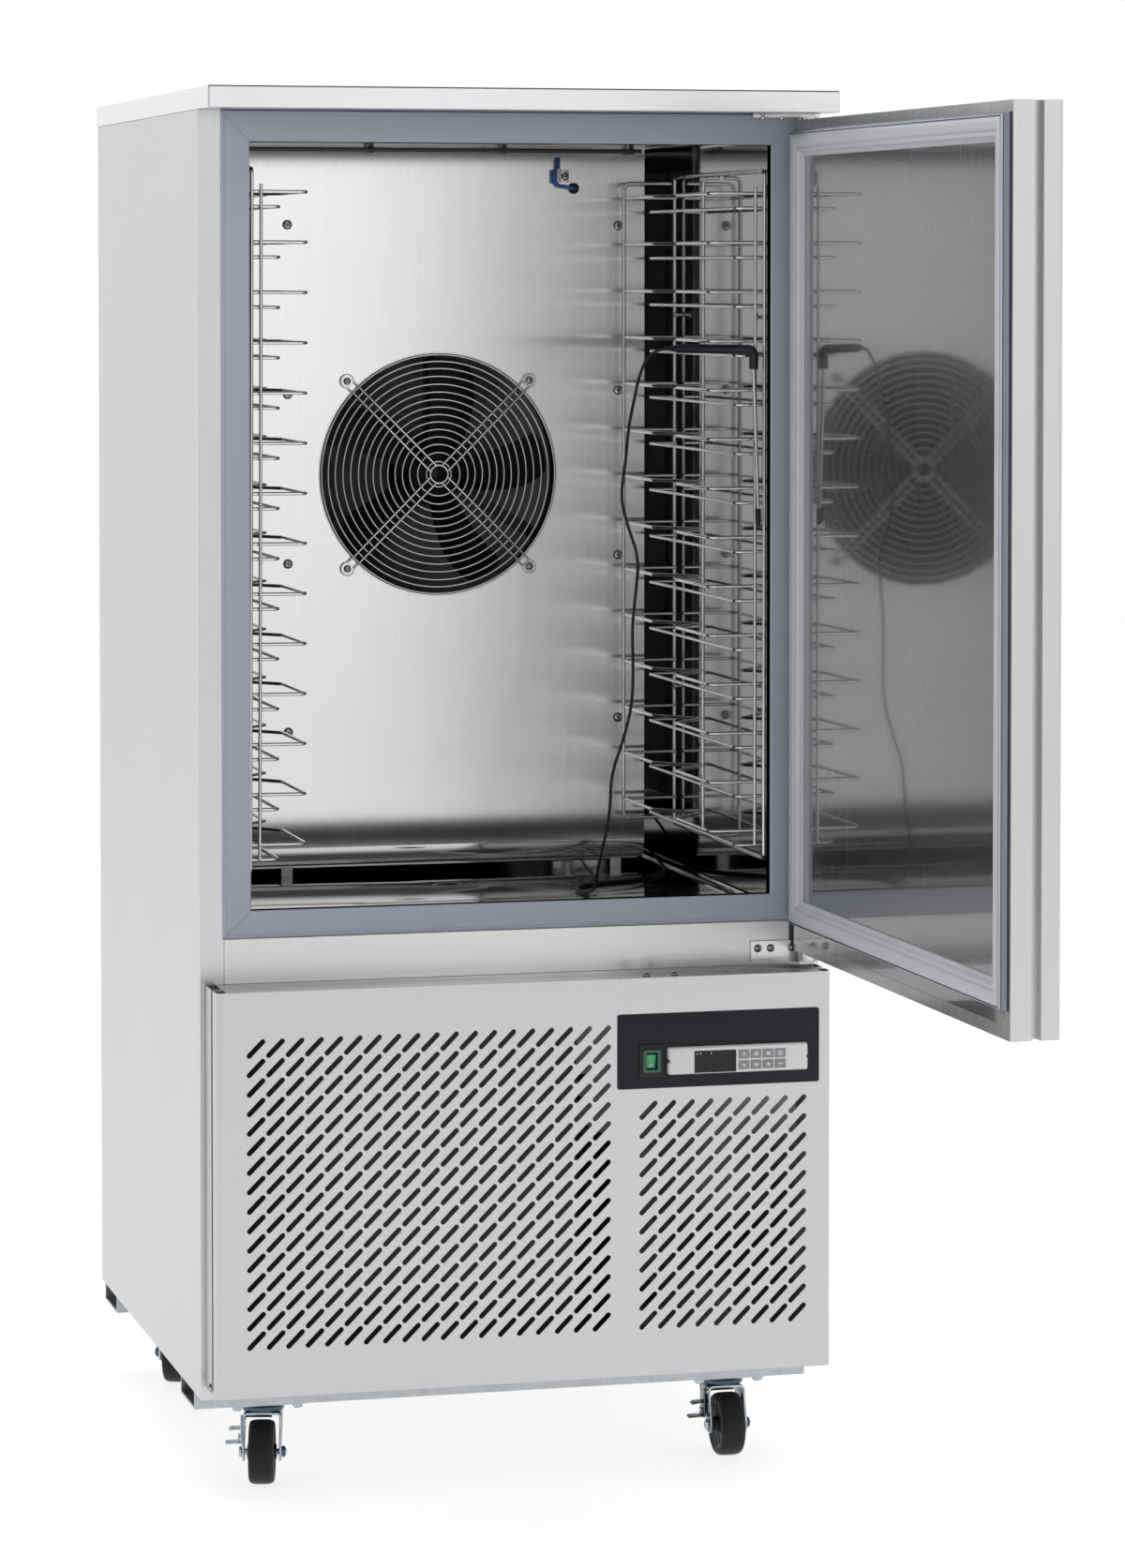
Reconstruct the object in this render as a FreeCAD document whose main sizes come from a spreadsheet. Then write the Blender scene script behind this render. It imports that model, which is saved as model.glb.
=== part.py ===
# Reach-in blast chiller: stainless cabinet on four swivel castors, hinged door
# standing open, louvred machine panel below.  All sizes in millimetres.
# Frame: +X to the right, +Y to the back (the front looks along -Y), +Z up,
# origin on the floor under the middle of the worktop.
import FreeCAD, Part
import Sketcher
import math
import os
import re
from FreeCAD import Vector as V, Placement, Rotation

doc = FreeCAD.newDocument("BlastChiller")

# ---------------------------------------------------------------- dimensions
DIMS = [
    # outer cabinet
    ("top_width", 800.0), ("top_depth", 840.0), ("top_height", 1745.0), ("top_thick", 27.0),
    ("body_half", 398.0), ("body_front", -341.0), ("body_back", 418.0),
    ("body_bottom", 127.0), ("sheet_steel", 1.2),
    # door opening and thermal-break frame
    ("frame_half", 368.0), ("frame_low", 698.0), ("frame_high", 1713.0), ("frame_wide", 34.0),
    ("frame_front", -342.5), ("frame_back", -340.2),
    # food chamber
    ("liner_half", 338.0), ("liner_floor", 712.0), ("liner_roof", 1692.0), ("liner_back", 391.0),
    ("liner_front", -339.4),
    # cross rail
    ("rail_low", 642.0), ("rail_high", 697.6),
    # evaporator cover and fan
    ("cover_front", 128.0), ("cover_half", 299.0), ("cover_curve", 752.0), ("cover_low", 722.0),
    ("fan_x", 12.6), ("fan_z", 1249.0), ("fan_hole", 162.0),
    # racks
    ("level_first", 1618.4), ("level_pitch", 62.14), ("level_count", 14.0), ("level_drop", 18.6),
    ("rack_wall", 332.0), ("rack_long", 261.0), ("rack_short", 295.5),
    ("rack_front", -320.0), ("rack_rear", 95.0), ("rack_low", 775.0), ("rack_high", 1647.0),
    ("wire_main", 2.6), ("wire_loop", 2.2),
    # louvred machine panel
    ("panel_half", 392.0), ("panel_front", -415.0), ("panel_back", -343.0),
    ("panel_low", 143.0), ("panel_high", 642.0),
    ("slot_pitch_across", 24.25), ("slot_pitch_down", 23.93), ("slot_wide", 6.3), ("slot_reach", 24.0),
    # controls
    ("plate_left", 113.6), ("plate_right", 375.8), ("plate_low", 503.4), ("plate_high", 597.0), ("plate_thick", 1.4),
    ("ctl_left", 177.5), ("ctl_right", 359.5), ("ctl_low", 520.0), ("ctl_high", 554.0), ("ctl_proud", 8.0),
    ("key_wide", 13.0), ("key_high", 10.0), ("key_deep", 5.0),
    ("rocker_x", 156.5), ("rocker_z", 538.3),
    # door
    ("hinge_x", 374.0), ("hinge_y", -366.0), ("door_open", 90.8),
    ("door_half", 388.0), ("door_low", 661.0), ("door_high", 1710.0),
    ("door_inner", -354.5), ("door_outer", -415.0),
    ("seal_half", 381.5), ("seal_wide", 33.0), ("seal_low", 694.0), ("seal_high", 1697.0), ("seal_thick", 11.4),
    ("pin_radius", 5.0), ("pin_clear", 0.05),
    # base and castors
    ("base_rail_low", 104.0), ("front_rail_y", -288.0), ("rear_rail_y", 300.0), ("base_rail_wide", 95.0),
    ("castor_x", 301.0), ("castor_front_y", -240.0), ("castor_rear_y", 348.0),
    ("wheel_radius", 40.0), ("wheel_wide", 32.0), ("castor_trail", 24.0), ("axle_radius", 4.0),
    # core probe and its lead
    ("probe_z", 1421.5), ("handle_radius", 5.8), ("needle_radius", 2.0), ("lead_radius", 2.0),
]
dims = doc.addObject("Spreadsheet::Sheet", "dims")
VAL = {}
for row, (alias, value) in enumerate(DIMS, start=1):
    dims.set("A%d" % row, alias.replace("_", " "))
    dims.set("B%d" % row, repr(value))
    dims.setAlias("B%d" % row, alias)
    VAL[alias] = value
doc.recompute()
WORDS = sorted(VAL, key=len, reverse=True)
PATTERN = re.compile(r"\b(" + "|".join(WORDS) + r")\b")


def g(alias):
    """The sheet's own value of a driving dimension."""
    return float(dims.get(alias))


def pre(text):
    return PATTERN.sub(r"dims.\1", text)


def bind(obj, prop, value):
    if isinstance(value, str):
        obj.setExpression(prop, pre(value))
        return
    if prop.startswith("Placement.Base."):
        pl = obj.Placement
        setattr(pl.Base, prop[-1], value)
        base = pl.Base
        obj.Placement = Placement(V(*[value if k == prop[-1] else getattr(base, k) for k in "xyz"]), pl.Rotation)
    else:
        setattr(obj, prop, value)


def at(obj, x, y, z):
    for axis, value in zip("xyz", (x, y, z)):
        bind(obj, "Placement.Base." + axis, value)
    return obj


def box(name, x, y, z, dx, dy, dz):
    b = doc.addObject("Part::Box", name)
    bind(b, "Length", dx)
    bind(b, "Width", dy)
    bind(b, "Height", dz)
    return at(b, x, y, z)


TURN = {"z": Rotation(), "y": Rotation(V(1, 0, 0), -90), "x": Rotation(V(0, 1, 0), 90),
        "-y": Rotation(V(1, 0, 0), 90)}


def cyl(name, x, y, z, radius, height, axis="z"):
    c = doc.addObject("Part::Cylinder", name)
    bind(c, "Radius", radius)
    bind(c, "Height", height)
    c.Placement = Placement(V(0, 0, 0), TURN[axis])
    return at(c, x, y, z)


def fuse(name, *parts):
    f = doc.addObject("Part::MultiFuse", name)
    f.Shapes = list(parts)
    return f


def cut(name, base, *tools):
    tool = tools[0] if len(tools) == 1 else fuse(name + "_tools", *tools)
    c = doc.addObject("Part::Cut", name)
    c.Base = base
    c.Tool = tool
    return c


def group(name, *parts):
    c = doc.addObject("Part::Compound", name)
    c.Links = list(parts)
    return c


def feature(name, shape, placement=None):
    """A piece made with Part's own functions, where no primitive or sketch fits."""
    f = doc.addObject("Part::Feature", name)
    f.Shape = shape
    f.Placement = placement or shape.Placement
    return f


NODES = {}


def node(name, obj):
    obj.Label = name
    NODES[name] = obj
    return obj


def origin_plane(body, role):
    return [o for o in body.Origin.OriginFeatures if o.Role == role][0]


def sketch_on(body, name, role, offset=None):
    s = body.newObject("Sketcher::SketchObject", name)
    s.AttachmentSupport = [(origin_plane(body, role), "")]
    s.MapMode = "FlatFace"
    if offset is not None:
        if isinstance(offset, str):
            s.setExpression("AttachmentOffset.Base.z", pre(offset))
        else:
            s.AttachmentOffset = Placement(V(0, 0, offset), Rotation())
    return s


def outline(s, points):
    """Closed polygon of sketch lines, joined end to end."""
    first = s.GeometryCount
    n = len(points)
    for i in range(n):
        a, b = points[i], points[(i + 1) % n]
        s.addGeometry(Part.LineSegment(V(a[0], a[1], 0), V(b[0], b[1], 0)), False)
    for i in range(n):
        s.addConstraint(Sketcher.Constraint("Coincident", first + i, 2, first + (i + 1) % n, 1))


def rect(s, x0, y0, x1, y1, tag=None, width=None, height=None):
    """Rectangle; its width and height are driven by the sheet when given."""
    first = s.GeometryCount
    outline(s, [(x0, y0), (x1, y0), (x1, y1), (x0, y1)])
    for i, kind in enumerate(("Horizontal", "Vertical", "Horizontal", "Vertical")):
        s.addConstraint(Sketcher.Constraint(kind, first + i))
    for prop, edge, kind, size in (("wide", 0, "DistanceX", width), ("high", 1, "DistanceY", height)):
        if size:
            k = s.addConstraint(Sketcher.Constraint(kind, first + edge, 1, first + edge, 2,
                                                    (x1 - x0) if edge == 0 else (y1 - y0)))
            s.renameConstraint(k, (tag or "r") + "_" + prop)
            s.setExpression("Constraints." + (tag or "r") + "_" + prop, pre(size))


def circle(s, x, y, r):
    s.addGeometry(Part.Circle(V(x, y, 0), V(0, 0, 1), r), False)


def pad(body, s, length, mid=False, back=False, name="Pad"):
    p = body.newObject("PartDesign::Pad", name)
    p.Profile = s
    if mid:
        try:
            p.SideType = "Symmetric"
        except Exception:
            p.Midplane = True
    p.Reversed = back
    bind(p, "Length", length)
    return p


def wire_path(points, radii):
    """Straight runs joined by tangent arcs of the given radii, as one wire."""
    pts = [V(*p) for p in points]
    edges = []
    start = pts[0]
    for i in range(1, len(pts) - 1):
        a = (pts[i] - pts[i - 1]).normalize()
        b = (pts[i + 1] - pts[i]).normalize()
        ang = math.acos(max(-1.0, min(1.0, a.dot(b))))
        r = radii[i - 1] if isinstance(radii, (list, tuple)) else radii
        if ang < 1e-4:
            continue
        t = r * math.tan(ang / 2)
        p1 = pts[i] - a * t
        p2 = pts[i] + b * t
        bis = (b - a).normalize()
        centre = pts[i] + bis * (r / math.cos(ang / 2))
        mid = centre - bis * r
        if (p1 - start).Length > 1e-6:
            edges.append(Part.LineSegment(start, p1).toShape())
        edges.append(Part.Arc(p1, mid, p2).toShape())
        start = p2
    edges.append(Part.LineSegment(start, pts[-1]).toShape())
    return Part.Wire(edges)


def tube(points, radii, r):
    """Round bar along a path of runs and arcs."""
    path = wire_path(points, radii)
    p0, p1 = V(*points[0]), V(*points[1])
    ring = Part.Wire([Part.Circle(p0, p1 - p0, r).toShape()])
    shell = Part.BRepOffsetAPI.MakePipeShell(path)
    shell.add(ring, False, False)
    shell.build()
    shell.makeSolid()
    solid = shell.shape()
    return solid, path.Length


def prism(points, z0, z1):
    """Upright prism over a plan outline."""
    w = Part.makePolygon([V(p[0], p[1], z0) for p in points] + [V(points[0][0], points[0][1], z0)])
    return Part.Face(w).extrude(V(0, 0, z1 - z0))


def revolve_about(profile, base, axis):
    """Solid of revolution of a closed (radius, height) outline about an axis through base."""
    pts = [V(r, 0, h) for r, h in profile]
    f = Part.Face(Part.makePolygon(pts + [pts[0]]))
    s = f.revolve(V(0, 0, 0), V(0, 0, 1), 360)
    s = Part.makeSolid(s) if s.ShapeType != "Solid" else s
    s.Placement = Placement(V(*base), Rotation(V(0, 0, 1), V(*axis)))
    return s


# ================================================================= CABINET
# --- wrap-round outer shell: both sides, the back and the two front flanges
shell_outer = box("shell_outer", "-body_half", "body_front", "body_bottom", "2*body_half", "body_back-body_front",
                  "top_height-top_thick-body_bottom-0.3")
shell_inner = box("shell_inner", "-body_half+sheet_steel", "body_front+sheet_steel", "body_bottom-1",
                  "2*(body_half-sheet_steel)", "body_back-body_front-2*sheet_steel", "top_height-body_bottom")
shell_front = box("shell_front", "-frame_half-0.2", "body_front-1", "body_bottom-1", "2*frame_half+0.4", 4.0,
                  "top_height-body_bottom")
vents = [box("vent_%d" % i, -250.0 + 270.0 * (i % 2), "body_back-3", 190.0 + 34.0 * (i // 2), 230.0, 6.0, 9.0)
         for i in range(20)]
inlet_hole = box("inlet_hole", 280.3, "body_back-3", 190.3, 47.4, 6.0, 27.4)
node("outer_shell", cut("outer_shell", shell_outer, shell_inner, shell_front, inlet_hole, *vents))

# --- worktop: a folded tray, rounded top edge, return lips below
wt_body = doc.addObject("PartDesign::Body", "worktop_body")
wt_s = sketch_on(wt_body, "worktop_plan", "XY_Plane", "top_height-top_thick")
rect(wt_s, -400, -420, 400, 420, "plan", "top_width", "top_depth")
wt_s.addConstraint(Sketcher.Constraint("Symmetric", 0, 1, 1, 2, -1, 1))
wt_pad = pad(wt_body, wt_s, "top_thick", name="worktop_pad")
doc.recompute()
fil = wt_body.newObject("PartDesign::Fillet", "worktop_round")
top_edges = []
for i, e in enumerate(wt_pad.Shape.Edges, start=1):
    bb = e.BoundBox
    upright = bb.ZLength > 5
    if upright or bb.ZMin > g("top_height") - 0.5:
        top_edges.append("Edge%d" % i)
fil.Base = (wt_pad, top_edges)
fil.Radius = 2.5
wt_body.Tip = fil
wt_space = box("worktop_space", "-top_width/2+1.2", "-top_depth/2+1.2", "top_height-top_thick+1.2",
               "top_width-2.4", "top_depth-2.4", "top_thick-2.4")
wt_open = box("worktop_open", "-top_width/2+22", "body_front+8", "top_height-top_thick-1",
              "top_width-44", "top_depth/2-body_front-30", 4.0)
node("worktop", cut("worktop", wt_body, wt_space, wt_open))

# --- stainless food chamber lining, open to the front, drain hole in its floor
lin_out = box("liner_out", "-liner_half-1", "liner_front", "liner_floor-1", "2*liner_half+2",
              "liner_back-liner_front+1", "liner_roof-liner_floor+2")
lin_flange = box("liner_flange", "-liner_half-24", "liner_front", "liner_floor-8", "2*liner_half+48", 1.0,
                 "liner_roof-liner_floor+16")
lin_in = box("liner_in", "-liner_half", "liner_front-2", "liner_floor", "2*liner_half",
             "liner_back-liner_front+2", "liner_roof-liner_floor")
drain_hole = cyl("drain_hole", 0.0, 15.0, "liner_floor-5", 12.6, 10.0)
lead_hole = cyl("lead_hole", 318.0, "liner_back-3", 771.0, 6.4, 8.0, "y")
node("inner_liner", cut("inner_liner", fuse("liner_sheet", lin_out, lin_flange), lin_in, drain_hole, lead_hole))

# --- foam between lining and shell
foam_out = box("foam_out", "-body_half+sheet_steel+0.2", "liner_front+1.4", "rail_low+4",
               "2*(body_half-sheet_steel-0.2)", "body_back-sheet_steel-0.2-liner_front-1.4",
               "top_height-top_thick-6-rail_low-4")
foam_in = box("foam_in", "-liner_half-1.2", "liner_front-5", "liner_floor-1.2", "2*liner_half+2.4",
              "liner_back-liner_front+6.2", "liner_roof-liner_floor+2.4")
foam_drain = cyl("foam_drain", 0.0, 15.0, "rail_low-2", 12.4, 90.0)
foam_lead = cyl("foam_lead", 318.0, "liner_back+1", 771.0, 8.0, 40.0, "y")
node("cabinet_foam", cut("cabinet_foam", foam_out, foam_in, foam_drain, foam_lead))

# --- thermal-break frame: four ribbed profiles, mitred at the corners
def frame_profile(length):
    """Cross-section in (w, depth): w runs outwards from the opening's edge."""
    w = g("frame_wide") - 0.25
    f, b = g("frame_front"), g("frame_back")
    pts = [(0, f + 1.0), (0.8, f)]
    for x in (9.0, 17.0, 25.0):
        pts += [(x, f), (x + 0.5, f + 0.7), (x + 1.9, f + 0.7), (x + 2.4, f)]
    pts += [(w - 1.0, f), (w, f + 1.0), (w, b), (3.4, b), (3.4, -324.0), (0, -324.0)]
    return pts


def frame_piece(side):
    fh, lo, hi, fw = g("frame_half"), g("frame_low"), g("frame_high"), g("frame_wide")
    pts = frame_profile(0)
    cz = (lo + hi) / 2.0
    if side in ("left", "right"):
        sgn = -1 if side == "left" else 1
        ring = [V(sgn * (fh - fw + w), y, lo - 1) for w, y in pts]
        bar = Part.Face(Part.makePolygon(ring + [ring[0]])).extrude(V(0, 0, hi - lo + 2))
        e = 0.05
        tri = [V(sgn * (fh + 1), -360, lo - 1 + e), V(sgn * (fh - fw - 40), -360, lo + fw + 40 + e),
               V(sgn * (fh - fw - 40), -360, hi - fw - 40 - e), V(sgn * (fh + 1), -360, hi + 1 - e)]
    else:
        sgn = -1 if side == "low" else 1
        z0 = lo if side == "low" else hi
        ring = [V(-fh - 1, y, z0 - sgn * (fw - w)) for w, y in pts]
        bar = Part.Face(Part.makePolygon(ring + [ring[0]])).extrude(V(2 * fh + 2, 0, 0))
        e = 0.05
        tri = [V(-fh - 1 + e, -360, z0 + sgn * 1), V(-fh + fw + 40 + e, -360, z0 - sgn * (fw + 40)),
               V(fh - fw - 40 - e, -360, z0 - sgn * (fw + 40)), V(fh + 1 - e, -360, z0 + sgn * 1)]
    wedge = Part.Face(Part.makePolygon(tri + [tri[0]])).extrude(V(0, 60, 0))
    return bar.common(wedge)


node("breaker_frame", feature("breaker_frame", Part.makeCompound(
    [s for side in ("left", "right", "low", "high") for s in frame_piece(side).Solids])))

# --- cross rail between chamber and machine space: folded channel
cr_body = doc.addObject("PartDesign::Body", "cross_rail")
cr_s = sketch_on(cr_body, "cross_rail_profile", "YZ_Plane")
f0, lo, hi = g("body_front"), g("rail_low"), g("rail_high") - 0.2
outline(cr_s, [(f0, lo), (f0 + 24, lo), (f0 + 24, lo + 1.2), (f0 + 1.2, lo + 1.2), (f0 + 1.2, hi - 1.2),
               (f0 + 1.3, hi - 1.2), (f0 + 1.3, hi), (f0, hi)])
pad(cr_body, cr_s, "2*frame_half-0.4", mid=True, name="cross_rail_pad")
node("cross_rail", cr_body)

# --- evaporator cover: sheet with curved foot, fan opening, returns and feet
cv = g("cover_front")
cl, cc, ch = g("cover_low"), g("cover_curve"), g("cover_half")
cover_top = g("liner_roof") - 1.5
holes = [(-192.5, z) for z in (1582.0, 1357.0, 1131.5, 907.0)] + [(262.0, z) for z in (1582.0, 1360.0, 1137.5, 917.0)]
ec_body = doc.addObject("PartDesign::Body", "cover_body")
ec_s = sketch_on(ec_body, "cover_front_sheet", "XZ_Plane", "-cover_front-sheet_steel")
rect(ec_s, -ch, cc, ch, cover_top, "sheet", "2*cover_half")
circle(ec_s, g("fan_x"), g("fan_z"), g("fan_hole"))
circle(ec_s, 199.6, 1631.8, 7.1)
for hx, hz in holes:
    circle(ec_s, hx, hz, 2.8)
for sx in (-1, 1):
    for sz in (-1, 1):
        circle(ec_s, g("fan_x") + sx * 125.0, g("fan_z") + sz * 125.0, 2.8)
circle(ec_s, 187.8, 1647.7, 2.8)
pad(ec_body, ec_s, "sheet_steel", name="cover_pad")
RAD = 40.0
foot = []
foot_in = []
for k in range(9):
    a = math.radians(48.0 * k / 8)
    foot.append(V(0, cv + RAD - RAD * math.cos(a), cc - RAD * math.sin(a)))
    foot_in.append(V(0, cv + RAD - (RAD - 1.2) * math.cos(a), cc - (RAD - 1.2) * math.sin(a)))
foot_face = Part.Face(Part.makePolygon(foot + foot_in[::-1] + [foot[0]]))
foot_solid = foot_face.extrude(V(2 * ch, 0, 0))
foot_obj = feature("cover_foot", foot_solid, Placement(V(-ch, 0, 0), Rotation()))
ret_l = box("cover_return_left", "-cover_half", "cover_front", "cover_curve", "sheet_steel", 34.0,
            "liner_roof-1.5-cover_curve")
ret_r = box("cover_return_right", "cover_half-sheet_steel", "cover_front", "cover_curve", "sheet_steel", 34.0,
            "liner_roof-1.5-cover_curve")
ret_t = box("cover_return_top", "-cover_half", "cover_front", "liner_roof-1.5-sheet_steel", "2*cover_half", 26.0,
            "sheet_steel")
feet = [box("cover_foot_%d" % i, fx - 8, cv + 10.4, 712.1, 16.0, 3.0, 16.0) for i, fx in enumerate((-192.5, 262.0))]
node("evaporator_cover", fuse("evaporator_cover", ec_body, foot_obj, ret_l, ret_r, ret_t, *feet))

# --- evaporator coil: finned block between end plates, with tube bends
coil_core = box("coil_core", -268.0, 268.0, 790.0, 536.0, 112.0, 860.0)
coil_ends = [box("coil_end_%d" % i, x, 262.0, 780.0, 2.0, 124.0, 880.0) for i, x in enumerate((-270.0, 268.0))]
coil_bends = [cyl("coil_bend_%d" % i, -292.0, 292.0 + 60.0 * (i % 2), 830.0 + 62.0 * i, 4.8, 23.0, "x") for i in range(13)]
node("evaporator_coil", fuse("evaporator_coil", coil_core, *coil_ends, *coil_bends))

# --- evaporator fan: motor carried by three arms from a ring behind the cover
fx, fz = g("fan_x"), g("fan_z")
ring_out = cyl("fan_ring_out", "fan_x", "cover_front+sheet_steel+0.1", "fan_z", "fan_hole+9", 57.0, "y")
ring_in = cyl("fan_ring_in", "fan_x", "cover_front-1", "fan_z", "fan_hole+7.6", 80.0, "y")
ring_lip = cut("fan_ring_lip", cyl("fan_lip_out", "fan_x", "cover_front+sheet_steel+0.1", "fan_z", "fan_hole+24", 1.2, "y"),
               cyl("fan_lip_in", "fan_x", "cover_front-1", "fan_z", "fan_hole+0.6", 8.0, "y"),
               *[cyl("lip_screw_%d" % i, fx + sx * 125.0, cv, fz + sz * 125.0, 2.8, 6.0, "y")
                 for i, (sx, sz) in enumerate(((-1, -1), (-1, 1), (1, -1), (1, 1)))])
fan_ring = cut("fan_ring", ring_out, ring_in)
motor_can = cyl("motor_can", "fan_x", 186.0, "fan_z", 44.0, 66.0, "y")
motor_nose = cyl("motor_nose", "fan_x", 180.0, "fan_z", 18.0, 8.0, "y")
motor_shaft = cyl("motor_shaft", "fan_x", 146.0, "fan_z", 6.0, 40.0, "y")
arms = []
for k in range(3):
    a = box("motor_arm_%d" % k, 0.0, 0.0, 0.0, 130.0, 3.0, 16.0)
    ang = 90 + 120 * k
    rot = Rotation(V(0, 1, 0), -ang)
    off = rot.multVec(V(41.0, 0, -8.0))
    a.Placement = Placement(V(fx, 181.5, fz) + off, rot)
    arms.append(a)
    b = box("motor_tie_%d" % k, 0.0, 0.0, 0.0, 14.0, 22.0, 16.0)
    off = rot.multVec(V(38.0, 0, -8.0))
    b.Placement = Placement(V(fx, 181.5, fz) + off, rot)
    arms.append(b)
node("evaporator_fan_motor", fuse("evaporator_fan_motor", ring_lip, fan_ring, motor_can, motor_nose, motor_shaft, *arms))


def blades(name, radius, hub_r, hub_len, count, chord, pitch, y_hub, bore, centre, thick=2.2):
    """Axial fan: hub with a shaft bore and flat twisted paddles, turning about Y."""
    hub = Part.makeCylinder(hub_r, hub_len, V(0, 0, 0), V(0, 1, 0))
    hub = hub.cut(Part.makeCylinder(bore, hub_len + 2, V(0, -1, 0), V(0, 1, 0)))
    solid = hub
    for k in range(count):
        w0, w1 = chord * 0.62, chord
        pts = [V(hub_r - 3, 0, -w0 / 2), V(radius * 0.75, 0, -w1 / 2), V(radius * 0.97, 0, -w1 * 0.42),
               V(radius, 0, 0), V(radius * 0.95, 0, w1 * 0.46), V(radius * 0.7, 0, w1 / 2), V(hub_r - 3, 0, w0 / 2)]
        bl = Part.Face(Part.makePolygon(pts + [pts[0]])).extrude(V(0, thick, 0))
        bl.translate(V(0, -thick / 2, 0))
        bl.rotate(V(0, 0, 0), V(1, 0, 0), pitch)
        bl.translate(V(0, hub_len / 2, 0))
        bl.rotate(V(0, 0, 0), V(0, 1, 0), 360.0 * k / count)
        solid = solid.fuse(bl)
    return feature(name, solid, Placement(V(centre[0], y_hub, centre[1]), Rotation()))


node("evaporator_fan", blades("evaporator_fan", 156.0, 34.0, 26.0, 5, 78.0, 26.0, 143.0, 6.05, (fx, fz)))

# --- finger guard: concentric rings welded behind four hairpin spokes
GR = [17.0, 29.0, 40.0, 50.0, 60.0, 70.0, 80.0, 90.0, 100.0, 110.0, 120.5, 131.0, 141.5, 151.0, 160.0]
ring_y = cv - 3.3
spoke_y = ring_y - 2.6
rings = [Part.makeTorus(r, 1.25, V(fx, ring_y, fz), V(0, 1, 0)) for r in GR]
spokes = []
for sx in (-1, 1):
    for sz in (-1, 1):
        ang = math.atan2(sz, sx)
        d = V(math.cos(ang), 0, math.sin(ang))
        n = V(-math.sin(ang), 0, math.cos(ang))
        c = V(fx, spoke_y, fz)
        p = [c + d * 12 + n * 5.6, c + d * 166 + n * 5.6, c + d * 171 + n * 6.4 + V(0, 4.2, 0), c + d * 190 + n * 6.4 + V(0, 4.2, 0),
             c + d * 190 - n * 6.4 + V(0, 4.2, 0), c + d * 171 - n * 6.4 + V(0, 4.2, 0), c + d * 166 - n * 5.6, c + d * 12 - n * 5.6]
        s, _ = tube([tuple(q) for q in p], [2.2, 2.2, 6.0, 6.0, 2.2, 2.2], 1.6)
        spokes.append(s)
gsolid = rings[0].multiFuse(rings[1:] + spokes)
node("fan_guard", feature("fan_guard", gsolid))

# --- pan-head screws: cover, guard, sensor clip, hinges, machine panel and the rack studs
SCREW = [(0, 0), (2.4, 0), (2.4, 9.0), (4.6, 9.0), (4.6, 10.2), (3.6, 11.6), (1.6, 12.3), (0, 12.3)]


def screw(x, y, z, axis, grip=9.0, wide=1.0):
    """Screw whose head seats at (x, y, z) and points along axis; wide scales the head's radius."""
    ax = V(*axis).normalize()
    base = V(x, y, z) - ax * grip
    prof = [(r * wide if r > 3.0 else r, h if h < 9.0 else h - 9.0 + grip) for r, h in SCREW]
    return revolve_about(prof, tuple(base), tuple(ax))


screws = [screw(hx, cv - 0.05, hz, (0, -1, 0), 9.0, 1.28) for hx, hz in holes]
screws += [screw(fx + sx * 125.0, cv - 3.4, fz + sz * 125.0, (0, -1, 0), 9.0) for sx in (-1, 1) for sz in (-1, 1)]
screws += [screw(187.8, cv - 1.7, 1647.7, (0, -1, 0))]
hb_y = g("body_front") - 3.8
screws += [screw(hx, hb_y, 663.5, (0, -1, 0), 12.0) for hx in (317.0, 334.0, 362.0)]
screws += [screw(hx, -352.0, 1713.3, (0, 0, -1), 6.0) for hx in (320.0, 345.0)]
screws += [screw(hx, -398.0, 642.05, (0, 0, 1), 6.0) for hx in (156.0, 192.0)]
screws += [screw(-392.05, -372.0, 150.0, (-1, 0, 0), 6.0), screw(392.05, -372.0, 150.0, (1, 0, 0), 6.0)]
for sx in (-1, 1):
    for sy in (g("rack_front") + 22.0, g("rack_rear") - 18.0):
        for sz in (1462.0, 962.0):
            screws.append(screw(sx * (g("liner_half") - 0.05 - 9.0), sy, sz, (-sx, 0, 0), 16.0))
node("pan_head_screws", feature("pan_head_screws", Part.makeCompound(screws)))

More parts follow.
